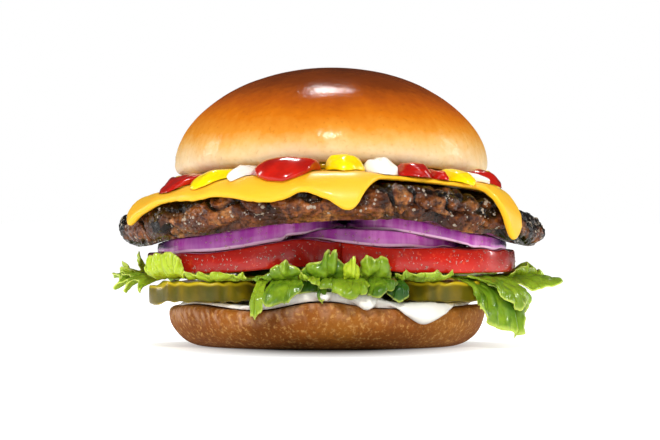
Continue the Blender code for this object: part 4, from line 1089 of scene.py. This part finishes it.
def make_mayo_pool(finish):
    """A pool of mayonnaise on the heel, with drips over its front edge."""
    part, angle, height = turned_grid(rounded_sheet(70, 0.03, 11), 380)
    line = np.stack((angle, angle * 0, angle * 0), axis=2)
    reach = part * (through(MAYO_REACH, angle) + 0.4 * rough(line, 6, 1))
    base = over_heel(reach, angle, GAP)
    thickness = mayo_height(base[..., 0], base[..., 1]) + 1.5 * smooth(51, 54, reach)
    rings = over_heel(reach, angle, GAP * (2 * height - 0.9) + height * thickness)
    # The pickles hold it down, and it rises clear of them
    away = np.min([np.hypot(rings[..., 0] - x, rings[..., 1] - y) - r
                   for _, x, y, r, _ in PICKLES], axis=0)
    ceiling = PICKLE_UNDER - CRINKLE_DEPTH - GAP / 2 + 4 * smooth(0.3, 3.0, away)
    rings[..., 2] = np.maximum(np.minimum(rings[..., 2], ceiling), base[..., 2] + 0.3 * height)
    piece = closed_form("mayo_pool_spread", rings, finish)
    return dressed(piece, "mayo", "mayo_pool")


def crisp_lettuce():
    """Curly lettuce: fresh green, blistered and shiny, with pale yellow-green rims."""
    made, tree, shader, place = finish_named(
        "crisp_lettuce", IOR=1.4, Roughness=0.32, Coat_Weight=0.35, Coat_Roughness=0.15,
        Subsurface_Weight=0.3, Subsurface_Radius=(0.6, 1.0, 0.1), Subsurface_Scale=0.0012)
    broad = ranged(tree, patchy(tree, place, 9, 3), 0.35, 0.65)
    green = blended(tree, broad, "4e7813", "7f9c1f")
    light = ranged(tree, patchy(tree, place, 2.2, 3), 0.5, 0.7, 0.0, 0.5)
    green = blended(tree, light, green, "98b52b")
    # Painted shade: darker green in the hollows, near the root and in the pleats
    green = blended(tree, marked(tree, "hollow"), green, "28580f")
    green = blended(tree, marked(tree, "lime"), green, "b4c82c")
    # Painted shade: lobes that lie behind others are darkened all over
    green = blended(tree, marked(tree, "deep"), green, "1f4a14")
    green = blended(tree, marked(tree, "rim"), green, "cfdc62")
    tree.links.new(green, shader.inputs["Base Color"])
    relief(tree, shader, patchy(tree, place, 1.1, 3), 0.28, 0.8)
    return made


def through_points(points, part):
    """Places on a smooth curve through points, at parts of its run from 0 to 1."""
    points = np.asarray(points, float)
    place = np.clip(np.asarray(part) * (len(points) - 1), 0, len(points) - 1 - 1e-9)
    start = place.astype(int)
    t = (place - start)[..., None]
    padded = np.concatenate((2 * points[:1] - points[1:2], points, 2 * points[-1:] - points[-2:-1]))
    p0, p1, p2, p3 = (padded[start + k] for k in range(4))
    return 0.5 * (2 * p1 + (p2 - p0) * t + (2 * p0 - 5 * p1 + 4 * p2 - p3) * t ** 2
                  + (3 * p1 - p0 - 3 * p2 + p3) * t ** 3)


def sheet_normals(grid):
    """Unit normals of a sheet's points, and unit directions along its rows."""
    along = np.gradient(grid, axis=1)
    normal = np.cross(along, np.gradient(grid, axis=0))
    normal /= np.maximum(np.linalg.norm(normal, axis=2, keepdims=True), 1e-9)
    return normal, along / np.maximum(np.linalg.norm(along, axis=2, keepdims=True), 1e-9)


def lobe(seed, root, rim, belly, folds, depth, notch, lime, across=120, out=34):
    """One lobe of a curly leaf as a grid of points with its marks. It comes out from under the
    tomato at a radius, turns at an elbow that stands out beyond its rim, and ends at the rim."""
    # The rim in plan, the root behind it and the elbow between them
    u = np.linspace(0, 1, across)
    end = through_points(rim, u)
    angle = front_angle(end[:, 0], end[:, 1])
    middle = angle.mean()
    x, y = round_stack(root, middle + 0.8 * (angle - middle))
    start = np.column_stack((x, y, LEAF_ROOT + 0 * x))
    x, y = round_stack(np.hypot(end[:, 0], end[:, 1]) + belly, middle + 0.85 * (angle - middle))
    rise = end[:, 2] - LEAF_ROOT
    elbow = np.column_stack((x, y, LEAF_ROOT + 0.1 * rise - 3.0 * smooth(0, 2, rise)))
    # Scallops and teeth decide how far each column comes out along the bend
    wander = 0.3 * np.sin(2 * np.pi * u * 1.3 + seed) / folds
    turn = 2 * np.pi * folds * (u + wander) + 2 * seed
    scallop = 0.5 + 0.5 * np.sin(turn)
    teeth = np.abs(np.sin(1.6 * turn + seed))
    edge = 1 - notch * (1 - scallop) - 0.15 * notch * teeth - 0.06 * np.abs(2 * u - 1) ** 8
    t = (np.linspace(0, 1, out)[:, None] * edge)[..., None]
    grid = (1 - t) ** 2 * start + 2 * t * (1 - t) * elbow + t ** 2 * end
    # A lobe that rises lies on the pickles on its way out
    resting = np.maximum(grid[..., 2], PICKLE_TOP + LEAF_CLEARANCE)
    grid[..., 2] = np.where(rise[None, :] > 0, resting, grid[..., 2])
    # Folds grow towards the rim, pleats run out to it, and blisters cover all of the leaf
    reach = t[..., 0]
    normal, along = sheet_normals(grid)
    growth = depth * reach ** 1.5
    wave = np.sin(turn + 1.2 * reach) + 0.35 * reach ** 2 * np.sin(2.6 * turn + seed)
    stretched = np.stack((u * folds * 1.4 + 0.6 * reach, 0.8 * reach, 0 * reach + seed), axis=2)
    pleat = 1 - np.abs(rough(stretched, 0.8, seed)) * 3.2
    pleat = np.clip(pleat, 0, 1) ** 2 * smooth(0.05, 0.4, reach)
    blister = rough(grid, 3.2, seed) + 0.5 * rough(grid, 1.3, seed + 3)
    lift = growth * wave - 0.7 * pleat + 0.65 * blister * smooth(0.0, 0.35, reach)
    grid = grid + normal * lift[..., None] + along * (0.6 * growth * np.cos(turn))[..., None]
    # What the finish reads: pale rim, painted shade in the hollows near the root and in the pleats,
    # and a yellow lobe, or a lobe darkened all over with painted shade
    rim_mark = smooth(0.94, 1.0, reach / edge) * np.ones_like(reach)
    hollow = np.clip(0.7 * pleat + 0.5 * (1 - smooth(0.0, 0.35, reach)) - 0.3 * wave * reach
                     - 0.9 * blister, 0, 1)
    even = np.ones_like(reach)
    return grid, {"rim": 0.8 * rim_mark, "hollow": hollow, "lime": max(lime, 0) * even,
                  "deep": max(-lime, 0) * even}


def leaf_of(name, lobes, finish):
    """Lobes joined into one leaf, which thins out at its rims."""
    points, faces, marks = [], [], {}
    for grid, notes in lobes:
        normal, _ = sheet_normals(grid)
        count, columns = grid.shape[:2]
        half = LEAF_THICKNESS / 2 * (1 - 0.6 * notes["rim"])[..., None]
        first = sum(len(p) for p in points)
        size = count * columns
        points += [(grid + normal * half).reshape(-1, 3), (grid - normal * half).reshape(-1, 3)]
        back = strip_faces(count, columns, first, False)
        front = [face[::-1] for face in back]
        back = [tuple(v + size for v in face) for face in back]
        border = ([(0, c) for c in range(columns)] + [(r, columns - 1) for r in range(1, count)]
                  + [(count - 1, c) for c in range(columns - 2, -1, -1)]
                  + [(r, 0) for r in range(count - 2, 0, -1)])
        border = [first + r * columns + c for r, c in border]
        sides = [(b, a, a + size, b + size) for a, b in zip(border, border[1:] + border[:1])]
        faces += front + back + sides
        for key, value in notes.items():
            marks.setdefault(key, []).extend([value.ravel(), value.ravel()])
    obj = object_of(name, np.concatenate(points), faces, finish)
    for mark, values in marks.items():
        mark_points(obj, mark, np.concatenate(values))
    return obj


def make_lettuce(finish):
    """The leaves round the stack, each made of a few curly lobes that share its root."""
    for name, lobes in LOBES.items():
        forms = [lobe(len(name) + k, *shape) for k, shape in enumerate(lobes)]
        dressed(leaf_of(name + "_leaf", forms, finish), "lettuce", name)
    for name, start, end, height in BACK_LEAVES:
        forms = []
        for k in range(BACK_LOBES):
            begin = start + (end - start) * k / 3.4
            rim = [(*round_stack(BACK_RIM - 2 * side, begin + (end - start) * 0.41 * part),
                    height + 2 * (k % 2) + 2 * side)
                   for part, side in ((0, 1), (0.33, 0), (0.67, 0), (1, 1))]
            forms.append(lobe(start + k, BACK_ROOT, rim, -1.0, 1.9, 1.2, 0.2, 0.2))
        dressed(leaf_of(name + "_leaf", forms, finish), "lettuce", name)


def make_lettuce_bed(finish):
    """The leaf under the tomato. It lies flat at its wavy edge, which is what shows of it, and
    is heaped up to the slices in the middle."""
    part, angle, height = turned_grid(rounded_sheet(70, 0.02, 9), 220)
    front = 1 - smooth(27, 36, np.abs(angle))
    radius = BED_RADIUS + (BED_FRONT_RADIUS - BED_RADIUS) * front
    radius = radius + 1.2 * np.sin(np.radians(angle) * 7)
    x, y = round_stack(part * radius, angle)
    heap = through(TOMATO_UNDER, x) - BED_HEIGHT - BED_THICKNESS - ONION_CLEARANCE
    heap = heap * (1 - smooth(27, 32, part * radius))
    z = BED_HEIGHT + height * (BED_THICKNESS + heap)
    rings = np.stack((x, y, z), axis=2)
    rim = 0.8 * smooth(0.95, 1.0, part)
    zero = np.zeros_like(part)
    piece = closed_form("lettuce_bed_leaf", rings, finish,
                        rim=rim, hollow=zero, lime=zero, deep=zero)
    dressed(piece, "lettuce", "lettuce_bed")


def make_stage():
    """A pale floor, a white room, and soft lights over, beside and in front of the burger."""
    scene = bpy.context.scene
    scene.view_settings.view_transform = 'Standard'
    finish, tree, shader, place = finish_named("pale_floor", Roughness=0.6, Specular_IOR_Level=0.1,
                                               Emission_Color="ffffff")
    seen = add(tree, "ShaderNodeLightPath")
    # Painted shadow: in an oval round the burger the floor's colour greys and its glow dims
    oval = add(tree, "ShaderNodeVectorMath", {0: place, 1: FLOOR_SHADE}, operation='MULTIPLY')
    far = add(tree, "ShaderNodeVectorMath", {0: oval.outputs[0]}, operation='LENGTH').outputs["Value"]
    clear = ranged(tree, far, SHADE_FADES, SHADE_ENDS)
    tree.links.new(blended(tree, clear, "6e6e6e", "f2f2f2"), shader.inputs["Base Color"])
    glow = add(tree, "ShaderNodeMath", {0: clear, 1: FLOOR_GLOW}, operation='MULTIPLY').outputs[0]
    glow = add(tree, "ShaderNodeMath", {0: glow, 1: ranged(
        tree, seen.outputs["Is Glossy Ray"], 0.0, 1.0, 1.0, 0.0)}, operation='MULTIPLY').outputs[0]
    tree.links.new(glow, shader.inputs["Emission Strength"])
    corners = [(x * FLOOR_REACH, y * FLOOR_REACH, 0) for x, y in ((-1, -1), (1, -1), (1, 1), (-1, 1))]
    object_of("table", corners, [(0, 1, 2, 3)], finish)
    scene.world = bpy.data.worlds.new("white_room")
    scene.world.use_nodes = True
    tree = scene.world.node_tree
    tree.nodes["Background"].inputs["Color"].default_value = linear("ffffff")
    path = add(tree, "ShaderNodeLightPath")
    room = ranged(tree, path.outputs["Is Glossy Ray"], 0.0, 1.0, ROOM_LIGHT, ROOM_GLOSS)
    seen = add(tree, "ShaderNodeMix", {0: path.outputs["Is Camera Ray"], 2: room, 3: 1.0},
               data_type='FLOAT').outputs[0]
    tree.links.new(seen, tree.nodes["Background"].inputs["Strength"])
    for name, spot, width, height, power, mirrored in LAMPS:
        lamp = bpy.data.lights.new(name, 'AREA')
        lamp.shape = 'RECTANGLE'
        lamp.size, lamp.size_y, lamp.energy = width * MM, height * MM, power
        obj = bpy.data.objects.new(name, lamp)
        obj.location = Vector(spot) * MM
        obj.visible_glossy = mirrored
        turn = Vector(LAMP_AIM) * MM - obj.location
        obj.rotation_euler = turn.to_track_quat('-Z', 'Y').to_euler()
        scene.collection.objects.link(obj)


def make_camera():
    """The camera in front of the burger, at the photo's angle and distance."""
    aim = Vector(CAMERA_AIM) * MM
    camera = bpy.data.cameras.new("camera")
    camera.sensor_width = SENSOR
    camera.lens = SENSOR * CAMERA_DISTANCE / PICTURE_WIDTH_MM
    camera.clip_start, camera.clip_end = 0.05, 20.0
    obj = bpy.data.objects.new("camera", camera)
    obj.location = Vector((CAMERA_AIM[0], -CAMERA_DISTANCE, CAMERA_HEIGHT)) * MM
    obj.rotation_euler = (aim - obj.location).to_track_quat('-Z', 'Y').to_euler()
    bpy.context.scene.collection.objects.link(obj)
    bpy.context.scene.camera = obj


make_camera()
make_stage()
bead_maker, wet_drop, leaf_finish = bead_tree(), water_drop(), crisp_lettuce()
make_heel()
make_crown()
make_patty(bead_maker)
make_cheese()
mayonnaise = make_sauces()
make_tomatoes(bead_maker, wet_drop)
make_onions(bead_maker, wet_drop)
make_pickles()
make_mayo_pool(mayonnaise)
make_lettuce(leaf_finish)
make_lettuce_bed(leaf_finish)
